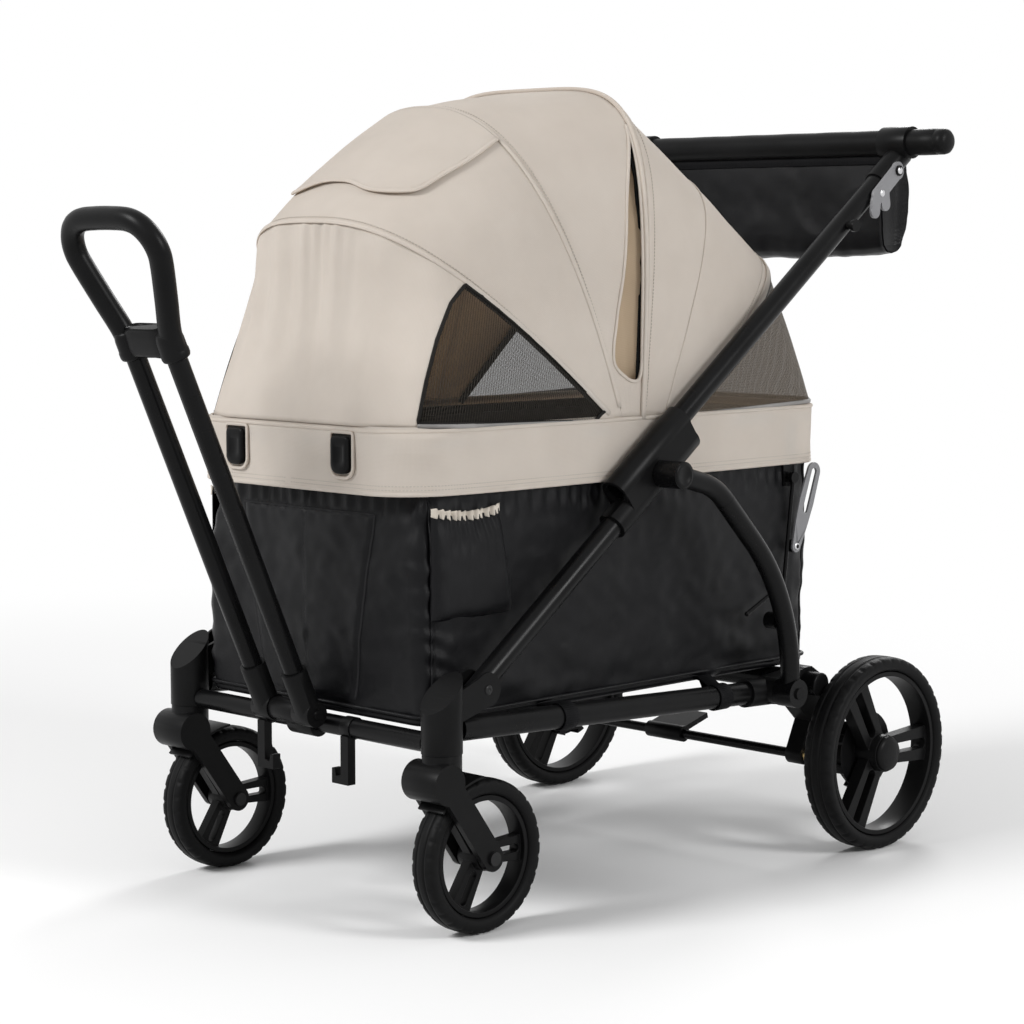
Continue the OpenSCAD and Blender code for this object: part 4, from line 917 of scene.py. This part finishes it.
TAB_X, TAB_Z = 105, 608
# Layers of the dark pill above each tab: painted shade that stands for the shade inside the slot's opening.
SLOT_SHADE = [(-2, 19.5, 18, 4, 3), (1.2, 19, 17.5, 4, 3)]
TAB = [(-2, 16.6, 24, 6, 12), (4.2, 16.8, 24.2, 6, 12), (6.0, 16.2, 23.6, 6, 11.6), (6.9, 14.6, 22, 5, 10.6),
       (6.9, 8.6, 12, 3, 7), (6.1, 7.6, 11, 3, 6.5)]
for label, side in SIDES:
    x = side * TAB_X
    # painted shade: a dark pill laid on the skirt where the slot's opening would lie in shade
    stack(f"tab_slot_shade_{label}", x, TAB_Z + 10, SLOT_SHADE, zip_dark)
    stack(f"tab_{label}", x, TAB_Z, TAB, moulded_black)
    edge = [at(x + a, SKIRT_FRONT - 1.2, TAB_Z + b) for a, b in pill(21.6, 29, 4, 15)]
    border = sweep(f"tab_border_{label}", edge, strap(0.0042, 0.0034), cream_cloth, True,
                   [Vector((0, -1, 0))] * len(edge))
    carry(border, "rim")
print("tabs made")

# %% [markdown]
# The tub is sewn from black coated cloth. Its walls are filled out by thin foam, crease near the corners
# and the floor, and hang from the rim. The front wall has a padded panel.

# %% Tub walls
FLOOR, TUB_HIGH, TUB_FRONT = 266, 356, -799.5
CORNERS = {"front_left": (220.4, -783), "rear_left": (220.4, -45), "rear_right": (-220.4, -45),
           "front_right": (-220.4, -783)}
tub_loop = outline(221.5, TUB_FRONT, -28.5, (26, 26), 560)


def nearest(x, y):
    return int(np.argmin(np.hypot(tub_loop[0][:, 0] - x, tub_loop[0][:, 1] - y)))


SEAM_RUNS = [tub_loop[2][nearest(*corner)] for corner in CORNERS.values()]


def panel_half(z):
    return 91 + 38 * (z - 295) / 230


def front_panel(x, z):
    """1 on the padded panel of the front wall, falling to 0 just outside its seams."""
    return clamp((panel_half(z) - abs(x)) / 7) * clamp((534 - z) / 7) * clamp((z - 284) / 7)


def tub_shift(t, z, p):
    share = (z - FLOOR) / TUB_HIGH
    near = min(abs(t - run) for run in SEAM_RUNS)
    belly = (4.5 if abs(p[0]) > 215 else 6.0) * hump(clamp(share)) * min(1.0, near / 30) - 2.0
    tuck = -6.0 * max(0, 1 - (z - FLOOR) / 14) ** 2 - 17.0 * front_corner(p) * clamp((z - 470) / 80)
    seam = -2.4 * bell(near / 4.0)
    ripple = math.sin(2 * math.pi * z / 31 + 4 * wrinkle(t, z, 0, 60, 1.0))
    pucker = (2.4 if p[1] < -600 else 0.7) * math.exp(-near / 20) * ripple
    crease = wrinkle(t * 0.55 + z * 0.45, z * 0.9 - t * 0.25, 0, 34, 8.0)
    slant = 5.0 * crease * (0.25 + 1.1 * max(0, 0.55 - share))
    broad = 3.4 * wrinkle(t, z * 0.6, 0, 80, 3.0)
    fine = 1.3 * wrinkle(t, z * 1.2, 0, 22, 2.0)
    padding = 3.4 * front_panel(p[0], z) if p[1] < -790 else 0.0
    top = 1.6 * bell((z - 545) / 16) * math.sin(2 * math.pi * t / 24 + 3 * wrinkle(t, 0, 0, 80, 5.0))
    return belly + tuck + seam + pucker + slant + broad + fine + padding + top


tub = wall("tub_cloth", tub_loop, np.linspace(267, 622, 90), tub_shift, black_cloth)
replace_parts(tub, "tub_front_wall", "tub_rear_wall", "tub_left_wall", "tub_right_wall")
carry(thicken(tub, 0.004), "chassis", gathers=True)
round_trim("tub_floor_piping", tub_loop, 277.5, -0.5, ring(0.0028), black_cloth, "chassis",
           lambda t, z, p: 0.0)
points, normals, _ = outline(220, -798, -30, (26, 26), 200)
layers = ((277.2, 8), (276.6, 2), (273, 0.2), (269, 0.4), (266, 2.4), (265.2, 8))
verts = [at(*(p - n * inset), z) for z, inset in layers for p, n in zip(points, normals)]
board = make_mesh("floor_board", verts, grid_faces(len(layers), len(points), wrap=True, caps=-1), black_cloth,
                  [(v.x, v.y) for v in verts])
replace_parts(face_outward(board, at(0, CENTRE_Y, 271)), "tub_floor")
carry(board, "chassis")

# %% [markdown]
# The walls are joined at the corners by bound seams, and the front panel lies inside a sewn line. Each seam
# is a thin sweep that follows the wall's own shape, so it lies in the same folds.

# %% Seams of the tub
def tub_at(x, y, z, out):
    """The wall's point nearest to a place, moved out, and the wall's outward direction there."""
    if y < -795 and abs(x) < 190:
        p, n = np.array([x, TUB_FRONT]), np.array([0.0, -1.0])
        t = x if x > 0 else tub_loop[2][-1] + x
    else:
        p, n, t = (part[nearest(x, y)] for part in tub_loop)
    return at(*(p + n * (tub_shift(t, z, p) + out)), z), Vector((*n, 0))


def tub_seam(name, places, section, finish, out):
    path, up = zip(*(tub_at(*p, out) for p in places))
    carry(sweep(name, path, section, finish, up=up), "chassis", gathers=True)


for label, (x, y) in CORNERS.items():
    corner_line = [(x, y, z) for z in np.linspace(270, 600, 90)]
    tub_seam(f"corner_seam_{label}", corner_line, ring(0.0023), black_cloth, 1.4)
panel_line = [(-panel_half(z), -800, z) for z in np.linspace(288, 530, 60)]
panel_line += [(x, -800, 531) for x in np.linspace(-127, 127, 60)]
panel_line += [(panel_half(z), -800, z) for z in np.linspace(530, 288, 60)]
rear_line = [(x, -28, 470) for x in np.linspace(-150, 150, 40)]
for name, line in (("front_panel_seam", panel_line), ("rear_panel_seam", rear_line)):
    tub_seam(name, line, strap(0.004, 0.0014), thread_black, 0.4)
print("tub seams made")

# %% [markdown]
# Round things are turned: a profile of radius and depth is carried round an axis. Tyres are closed profiles
# whose shoulders are notched, so the helper lets a function change the radius as it goes round.

# %% Turned pieces
def turned(name, profile, origin, axis, finish, body, sides, closed=False, change=None):
    along = Vector(axis).normalized()
    side = along.orthogonal().normalized()
    other = along.cross(side)
    centre = at(*origin)
    points = []
    for i, (radius, depth) in enumerate(profile):
        for k in range(sides):
            a = 2 * math.pi * k / sides
            r = radius if change is None else change(i, k, radius)
            points.append(centre + (side * math.cos(a) + other * math.sin(a)) * r / MM + along * depth / MM)
    faces = grid_faces(len(profile), sides, wrap=True, ring=closed, caps=0 if closed else 1)
    return carry(fix_normals(make_mesh(name, points, faces, finish)), body)


# %% [markdown]
# The tyres are solid foam rubber. A moulded tyre has a flat tread between round shoulders, two thin grooves
# that run round it, and notches in the shoulders. The profile starts and ends at the rim's seat.

# %% Tyres
TYRE_DEEP, NOTCH_STEPS, NOTCH_DEEP = 21, 8, 1.5
SHOULDER = [(5.4, 0.975), (3.4, 0.92), (1.9, 0.82), (0.9, 0.68), (0.35, 0.5), (0.3, 0.4), (1.7, 0.375),
            (1.7, 0.335), (0.2, 0.31), (0, 0.1)]
FRONT_WHEEL, REAR_WHEEL = (254, -741, 100), (321, 0, 140)
HUB_CAP = [(24, 17), (25.5, 20), (25.4, 24.5), (23.6, 27.4), (18, 29.2), (9, 30), (0.6, 30.2)]


def tyre(node, centre, wide, body, notches):
    """The wheel stands on the ground, so its radius is its centre's height."""
    radius = centre[2]
    seat = radius - TYRE_DEEP
    half = [(seat + 0.4, 0.62), (seat + 2, 0.86), (radius - TYRE_DEEP * 0.72, 0.985)]
    half += [(radius - TYRE_DEEP * 0.45, 1.0)] + [(radius - drop, s) for drop, s in SHOULDER]
    profile = [(r, -s * wide / 2) for r, s in half] + [(r, s * wide / 2) for r, s in reversed(half)]

    def notch(i, k, r):
        place = min(i, len(profile) - 1 - i)
        step = (k + (0 if i < len(half) else NOTCH_STEPS // 2)) % NOTCH_STEPS
        return r - (NOTCH_DEEP if 4 <= place <= 7 and step < 2 else 0.0)

    piece = turned(f"{node}_tread", profile, centre, (1, 0, 0), foam_rubber, body,
                   notches * NOTCH_STEPS, True, notch)
    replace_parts(piece, node)


for label, side in SIDES:
    front_hub, rear_hub = ((side * x, y, z) for x, y, z in (FRONT_WHEEL, REAR_WHEEL))
    tyre(f"front_tyre_{label}", front_hub, 38, f"front_wheel_{label}", 30)
    tyre(f"rear_tyre_{label}", rear_hub, 46, f"rear_wheel_{label}", 40)
    turned(f"rear_hub_cap_{label}", HUB_CAP, rear_hub, (side, 0, 0), moulded_black, f"rear_wheel_{label}",
           48)
print("tyres and hub caps made")

# %% [markdown]
# The push bar is a tube in a stitched sleeve of smooth imitation leather. It is turned with closed round
# ends, and a flat seam runs along its back.

# %% Push bar
BAR_Y, BAR_Z = 127.6, 1021.5
ends = [(1.0, -345), (9, -344.6), (14.5, -342.5), (17.8, -339), (18.9, -334), (18.9, -326), (18.2, -325),
        (18.2, -323.6), (19, -322.6)]
middle = [(19 + 0.25 * math.sin(i * 1.9), x) for i, x in enumerate(np.linspace(-300, 300, 25))]
profile = ends + middle + [(r, -x) for r, x in reversed(ends)]
bar = turned("push_bar_sleeve", profile, (0, BAR_Y, BAR_Z), (1, 0, 0), grip_skin, "push_frame",
             48)
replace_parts(bar, "push_bar")
seam_path = [at(x, BAR_Y + 16.4, BAR_Z - 9.6) for x in np.linspace(-320, 320, 60)]
seam = sweep("push_bar_seam", seam_path, strap(0.005, 0.0014), grip_skin, up=[Vector((0, 0.86, -0.5))] * 60)
carry(seam, "push_frame")
print("push bar made")

# %% [markdown]
# The storage bag hangs behind the push bar, open to the one who pushes. It is a lofted shell: one profile,
# from the bar down the front, under the bottom and up the back, carried from side to side. It sags most in
# the middle.

# %% Storage bag
BAG_HALF, BAG_TOP, BAG_COLS, BAG_ROWS = 225.0, 1003, 49, 91
BAG = np.array([(128, 1003), (126.6, 985), (125.6, 950), (125.2, 915), (126.4, 886), (131, 866), (141, 857.5),
                (155, 855), (168, 857.5), (177.5, 866), (181.5, 886), (183.5, 915), (184, 945), (182.4, 970),
                (180, 984)])


def bag_point(share, t):
    u, k = -1 + 2 * share, t * (len(BAG) - 1)
    i = min(int(k), len(BAG) - 2)
    y, z = BAG[i] + (BAG[i + 1] - BAG[i]) * (k - i)
    low = clamp((BAG_TOP - z) / 148)
    back = (y - 126) / 58
    x = u * (BAG_HALF + 9 * back * hump(min(1, low + 0.1)))
    side, middle = abs(u) ** 6, 1 - u * u
    y = y - 5 * side * max(0, back) - 9 * middle * (t > 0.9)
    z = z + 6 * low * (side - 0.5 * middle) - 7 * middle * (t > 0.9)
    fold = 3.2 * wrinkle(x * 0.8, y, z, 55, 4.0) + 1.6 * wrinkle(x, y, z * 1.4, 25, 9.0)
    away = np.array([0.25 * u, (y - 154) / 29, (z - 925) / 90])
    away = away / max(np.linalg.norm(away), 0.3)
    return np.array([x, y, z]) + away * fold * min(1.0, 3 * low)


def lengths(points, rows, cols):
    p = np.array(points).reshape(rows, cols, 3)
    across, along = np.zeros((rows, cols)), np.zeros((rows, cols))
    across[:, 1:] = np.cumsum(np.linalg.norm(np.diff(p, axis=1), axis=2), axis=1)
    along[1:] = np.cumsum(np.linalg.norm(np.diff(p, axis=0), axis=2), axis=0)
    return np.stack([across, along], -1).reshape(-1, 2)


spots = [at(*bag_point(i / (BAG_ROWS - 1), j / (BAG_COLS - 1)))
         for i in range(BAG_ROWS) for j in range(BAG_COLS)]
faces = grid_faces(BAG_ROWS, BAG_COLS)
for first in (0, (BAG_ROWS - 1) * BAG_COLS):
    for j in range(BAG_COLS // 2):
        a, b = first + j, first + BAG_COLS - 1 - j
        faces.append((a, a + 1, b - 1, b) if first == 0 else (b, b - 1, a + 1, a))
bag = make_mesh("storage_bag", spots, faces, black_cloth, lengths(spots, BAG_ROWS, BAG_COLS))
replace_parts(thicken(face_outward(bag, at(0, 154, 920)), 0.0022), "organizer")
carry(bag, "push_frame")
for name, t, move, section, out in (("storage_bag_hem", 1.0, (0, 0, 0), strap(0.016, 0.004), 1),
                                    ("storage_bag_band", 0.0, (0, -1.4, -6), strap(0.014, 0.0034), -1)):
    path = [at(*(bag_point(share, t) + move)) for share in np.linspace(0, 1, 61)]
    band = sweep(name, path, section, black_webbing, up=[Vector((0, out, 0))] * len(path))
    carry(band, "push_frame")
declare(bag, bag_point, "hung")

# %% [markdown]
# The side pocket is a pouch with a gathered top in cream elastic. Its cloth bulges over what it would hold,
# and small pleats run down from the elastic.

# %% Side pockets
POCKET_FRONT, POCKET_REAR, POCKET_LOW, POCKET_HIGH = -787.0, -646, 400, 138
POUCH_ROWS, POUCH_COLS, FRILL_ROWS, FRILL_COLS = 49, 55, 6, 181


def pocket_point(side, u, v):
    rear = POCKET_REAR - 24 * v ** 1.5
    y = POCKET_FRONT + (rear - POCKET_FRONT) * u
    z = POCKET_LOW + POCKET_HIGH * v - 6 * hump(u) * v * v
    base = 221 if y > -774 else 195 + math.sqrt(max(26 ** 2 - (y + 774) ** 2, 0))
    edge = hump(min(1, u / 0.16) / 2) * hump(min(1, (1 - u) / 0.13) / 2)
    full = edge * hump(min(1, v / 0.13) / 2) * (1 - 0.5 * v ** 2.2)
    pleat = 2.4 * v ** 3 * math.sin(2 * math.pi * 8 * u + 2.5 * wrinkle(y, z, 0, 40)) * edge
    slant = 2.2 * wrinkle(y + z * 0.5, z * 1.2 - y * 0.3, side * 20, 32, 6.0)
    crease = (slant + 1.0 * wrinkle(y, z, side * 9, 16, 4.0)) * edge
    return np.array([side * (base + 1.2 + 11 * math.tanh((12 * full + pleat + crease) / 11)), y, z])


def frill_point(side, u, high):
    x, y, z = pocket_point(side, u, 1.0)
    frill = math.sin(2 * math.pi * 12 * u + 1.6 * wrinkle(y, 0, 0, 25))
    across = 2 * high - 1
    return (x + side * (1.2 + (1.5 + 1.1 * across ** 2) * frill), y, z - 5 + 11 * high + 0.9 * frill * across)


for label, side in SIDES:
    spots = [pocket_point(side, j / (POUCH_COLS - 1), i / (POUCH_ROWS - 1))
             for i in range(POUCH_ROWS) for j in range(POUCH_COLS)]
    pouch = make_mesh(f"pocket_{label}", [at(*p) for p in spots], grid_faces(POUCH_ROWS, POUCH_COLS),
                      black_cloth, [(y / MM, z / MM) for _, y, z in spots])
    thicken(face_outward(pouch, at(0, -715, 470)), 0.002)
    carry(pouch, "chassis", gathers=True)
    if label == "left":
        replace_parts(pouch, "side_pockets")
    declare(pouch, lambda u, v: pocket_point(side, u, v), "gathered")
    spots = [at(*frill_point(side, k / (FRILL_COLS - 1), i / (FRILL_ROWS - 1)))
             for i in range(FRILL_ROWS) for k in range(FRILL_COLS)]
    band = make_mesh(f"pocket_elastic_{label}", spots, grid_faces(FRILL_ROWS, FRILL_COLS), elastic_cream)
    thicken(face_outward(band, at(0, -715, 540)), 0.0016)
    carry(band, "chassis", gathers=True)
print("pockets made")

# %% [markdown]
# Seat and back pads are foam in a sewn cover. A slightly small rounded block is remeshed evenly and blown
# up by the cloth simulation, with a cap on how far a point may go, so that the cover is taut in the middle
# of each side.

# %% Padded pieces
PRESSURE, BLOWN_FRAMES = 4.0, 20


def block(name, centre, size, corner, finish):
    body = bmesh.new()
    bmesh.ops.create_cube(body, size=1.0)
    for w in body.verts:
        w.co = Vector((w.co.x * size[0], w.co.y * size[1], w.co.z * size[2])) / MM
    bmesh.ops.bevel(body, geom=list(body.edges), offset=corner / MM, segments=4, profile=0.6, affect="EDGES")
    mesh = bpy.data.meshes.new(name)
    body.to_mesh(mesh)
    body.free()
    mesh.materials.append(finish)
    mesh.transform(Matrix.Translation(at(*centre)))
    return placed(name, mesh)


def plump(piece, voxel, cap):
    """Remesh a block evenly and blow it up, with no point moved by more than the cap."""
    remesh = piece.modifiers.new("even", "REMESH")
    remesh.mode, remesh.voxel_size = "VOXEL", voxel
    graph = bpy.context.evaluated_depsgraph_get()
    even = bpy.data.meshes.new_from_object(piece.evaluated_get(graph))
    piece.modifiers.clear()
    piece.data = even
    start = np.array([w.co for w in even.vertices])
    settings = piece.modifiers.new("cloth", "CLOTH").settings
    settings.use_pressure, settings.uniform_pressure_force, settings.quality = True, PRESSURE, 4
    settings.effector_weights.gravity = 0
    for step in range(1, BLOWN_FRAMES + 1):
        bpy.context.scene.frame_set(step)
    graph = bpy.context.evaluated_depsgraph_get()
    move = np.array([w.co for w in piece.evaluated_get(graph).to_mesh().vertices]) - start
    piece.evaluated_get(graph).to_mesh_clear()
    piece.modifiers.clear()
    bpy.context.scene.frame_set(1)
    far = np.linalg.norm(move, axis=1, keepdims=True)
    start = start + move * np.minimum(1, cap / np.maximum(far, 1e-9))
    even.vertices.foreach_set("co", start.astype(np.float32).ravel())
    even.polygons.foreach_set("use_smooth", [True] * len(even.polygons))
    even.update()
    return piece


for name, node, ys, z, size, corner, voxel, cap in (
        ("seat_pad", "seat_pads", (-638, -190), 306, (400, 226, 48), 16, 0.006, 0.007),
        ("back_pad", "back_pads", (-776.5, -51.5), 405, (342, 27, 242), 9, 0.0055, 0.005)):
    for label, y in zip(("front", "rear"), ys):
        pad = plump(block(f"{name}_{label}", (0, y, z), size, corner, black_cloth), voxel, cap)
        carry(pad, "chassis", gathers=name == "back_pad")
        if label == "front":
            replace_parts(pad, node)
        if name == "seat_pad":
            finer = pad.modifiers.new("finer", "SUBSURF")
            finer.levels = finer.render_levels = 1
print("pads made, simulated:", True)

# %% [markdown]
# Four webbing loops tie the floor to the side tubes. Each is one flat strap that leaves the floor's edge,
# goes round the tube and comes back, so it is swept along that path.

# %% Webbing loops
TUBE_X, LOOP_RADIUS = 254, 17.6
tube_from, tube_to = np.array([-775, 267.0]), np.array([-176, 242.0])
round_tube = np.radians(np.linspace(118, -205, 30))
loops = []
for label, side in SIDES:
    for share in (0.32, 0.84):
        y, z = tube_from + (tube_to - tube_from) * share
        path = [(219, 271.5), (228, 272.5)]
        path += [(TUBE_X + LOOP_RADIUS * math.cos(a), z + LOOP_RADIUS * math.sin(a)) for a in round_tube]
        path += [(228, 268.4), (219, 268.8)]
        line = [at(side * a, y, b) for a, b in path]
        loop = sweep(f"webbing_loop_{label}_{int(share * 100)}", line, strap(0.026, 0.0018), black_webbing,
                     up=[(p - at(side * TUBE_X, y, z)).normalized() for p in line])
        loops.append(carry(loop, "chassis"))
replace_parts(loops[0], "webbing_loops")
print("webbing loops made")

# %% [markdown]
# The pull handle's grip is one thick moulded loop on two collars, with a saddle between the tubes. It is
# swept along a smooth curve through the same points that the solid has.

# %% Pull grip
PULL_Y, PULL_Z, PULL_SIN, PULL_COS = -838, 268, 0.40674, 0.91355
GRIP_RADIUS, SADDLE_SIDES = 0.0148, 40
COLLAR = [(14, 510), (17.4, 512), (18.4, 515), (18.4, 521), (17.6, 523), (17.6, 536), (17, 541), (15.5, 546),
          (13, 548)]
SADDLE = [(514, 40, 12), (516, 41.5, 13.6), (519, 42, 14.2), (528, 42, 14.2), (538, 40, 13.6),
          (546, 37, 12.4), (551, 33, 9)]


def on_pull(x, s, out=0.0):
    """A point at x, s up the handle's slope and out in front of it."""
    return at(x, PULL_Y - PULL_SIN * s - PULL_COS * out, PULL_Z + PULL_COS * s - PULL_SIN * out)


def squared(x, power):
    return math.copysign(abs(x) ** power, x)


half = [(45, 520), (48, 548), (64, 590), (80, 634), (84, 654), (79, 673), (66, 688), (46, 696), (16, 698)]
grip_line = smooth_line([on_pull(x, s) for x, s in half] + [on_pull(-x, s) for x, s in reversed(half)], 8)
section = [(a * 0.96, b) for a, b in ring(GRIP_RADIUS, 20)]
toward = [Vector((0, -PULL_COS, -PULL_SIN))] * len(grip_line)
grip = sweep("pull_grip_loop", grip_line, section, moulded_black, up=toward)
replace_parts(grip, "pull_grip")
carry(grip, "pull_handle")
for label, side in SIDES:
    turned(f"pull_collar_{label}", COLLAR, (side * 42, PULL_Y, PULL_Z), (0, -PULL_SIN, PULL_COS),
           moulded_black, "pull_handle", 40)
verts = []
for s, wide, deep in SADDLE:
    for a in np.linspace(0, 2 * math.pi, SADDLE_SIDES + 1)[:-1]:
        dip = 5 * math.cos(a) ** 2 if s < 520 else 0
        verts.append(on_pull(squared(math.cos(a), 0.5) * wide, s - dip + 3, squared(math.sin(a), 0.6) * deep))
faces = grid_faces(len(SADDLE), SADDLE_SIDES, wrap=True, caps=-1)
saddle = make_mesh("pull_grip_saddle", verts, faces, moulded_black)
carry(face_outward(saddle, on_pull(0, 520)), "pull_handle")
print("pull grip made")

# %% [markdown]
# Small hardware finishes the frame: plugs in the ends of the rear cross tube, screws in the cheeks, caps on
# the knuckles, rivets in the grey plates and nuts on the brake bar. Each is turned from a short profile.

# %% Small hardware
SCREW = [(6.4, -1.0), (6.4, 0.6), (5.6, 1.5), (3.6, 1.9), (2.7, 1.9), (2.5, 0.9), (0.4, 0.9)]
RIVET = [(5.4, -2.0), (5.4, 0.5), (4.6, 1.3), (2.8, 1.8), (0.4, 2.0)]
PLUG = [(16.9, -3), (17.2, 0), (16.8, 1.4), (15, 2.2), (8, 2.4), (0.4, 2.4)]
CAP = [(17, -2), (17.4, 0.2), (16.6, 1.4), (12, 1.9), (11.4, 1.2), (0.4, 1.2)]
NUT = [(8.2, -5), (9.4, -4.4), (9.4, 4.4), (8.2, 5)]
for label, side in SIDES:
    for name, profile, (x, y, z), finish, body, slot, sides in (
            ("cross_tube_plug", PLUG, (292, -91, 246), moulded_black, "chassis", "plastic_black", 40),
            ("cheek_screw", SCREW, (274.4, -740, 315), dark_steel, "chassis", "steel", 24),
            ("knuckle_cap", CAP, (314, -414.6, 568.3), moulded_black, "leg_pair", "plastic_black", 40),
            ("latch_rivet", RIVET, (242.7, -87, 441), bright_steel, f"latch_{label}_body", "steel", 24),
            ("lever_rivet", RIVET, (278.9, 97.4, 980.2), bright_steel, "push_frame", "steel", 24),
            ("lever_stud", RIVET, (275.9, 59.5, 947.0), bright_steel, f"lever_{label}_body", "steel", 24),
            ("brake_nut", NUT, (268, -92, 140), brass_nut, "brake", "steel", 6)):
        turned(f"{name}_{label}", profile, (side * x, y, z), (side, 0, 0), finish, body, sides)
print("small hardware made")

# %% [markdown]
# A studio of soft light: a pale floor that fades to plain white far away, a bright surround that the camera
# sees as white, a large lamp high in front on the left, a second on the right and a weak one behind.

# %% Floor and light
WORLD_LIGHT, FLOOR_HALF = 0.42, 30
FADE_FROM, FADE_TO = 1.0, 3.2


def lamp(name, place, aim, size, power):
    data = bpy.data.lights.new(name, "AREA")
    data.shape, data.size, data.energy = "DISK", size, power
    thing = placed(name, data)
    thing.location = place
    thing.rotation_euler = (Vector(aim) - Vector(place)).to_track_quat("-Z", "Y").to_euler()


def seen_rays(tree):
    """1 for the rays that show the background: to the camera, in a reflection, or through glass."""
    ray = add_node(tree, "LightPath").outputs
    seen = sums(tree, "ADD", ray["Is Camera Ray"], ray["Is Glossy Ray"], use_clamp=True)
    return sums(tree, "ADD", seen, ray["Is Transmission Ray"], use_clamp=True)


def empty_tree(owner):
    owner.use_nodes = True
    owner.node_tree.nodes.clear()
    return owner.node_tree


lamp("key_lamp", (-0.9, -3.6, 3.3), (0, 0, 0.5), 1.5, 152)
lamp("side_lamp", (3.9, 0.6, 2.4), (0, 0, 0.5), 1.3, 80)
lamp("back_lamp", (-1.5, 3.6, 2.8), (0, 0, 0.7), 1.4, 60)

floor_finish = bpy.data.materials.new("studio_floor")
tree = empty_tree(floor_finish)
far = add_node(tree, "VectorMath", operation="LENGTH", Vector=add_node(tree, "TexCoord").outputs["Object"])
fade = add_node(tree, "MapRange", interpolation_type="SMOOTHSTEP", Value=far.outputs["Value"],
                From_Min=FADE_FROM, From_Max=FADE_TO)
matt = add_node(tree, "BsdfDiffuse", Color=(0.9, 0.9, 0.9, 1))
glow = add_node(tree, "Emission", Strength=1.0)
share = sums(tree, "MULTIPLY", fade.outputs["Result"], seen_rays(tree))
mixed(tree, share, matt, glow, add_node(tree, "OutputMaterial"))
corners = [(x * FLOOR_HALF, y * FLOOR_HALF, 0) for x, y in ((-1, -1), (1, -1), (1, 1), (-1, 1))]
make_mesh("studio_floor", corners, [(0, 1, 2, 3)], floor_finish, smooth=False)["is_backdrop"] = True

world = bpy.data.worlds.new("studio")
bpy.context.scene.world = world
tree = empty_tree(world)
dim, white = (add_node(tree, "Background", Strength=strength, Color=(1, 1, 1, 1))
              for strength in (WORLD_LIGHT, 1.0))
mixed(tree, seen_rays(tree), dim, white, add_node(tree, "OutputWorld"))
bpy.context.scene.view_settings.view_transform = "Standard"
print("studio made")

# %% Sizes and the end
low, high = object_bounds()
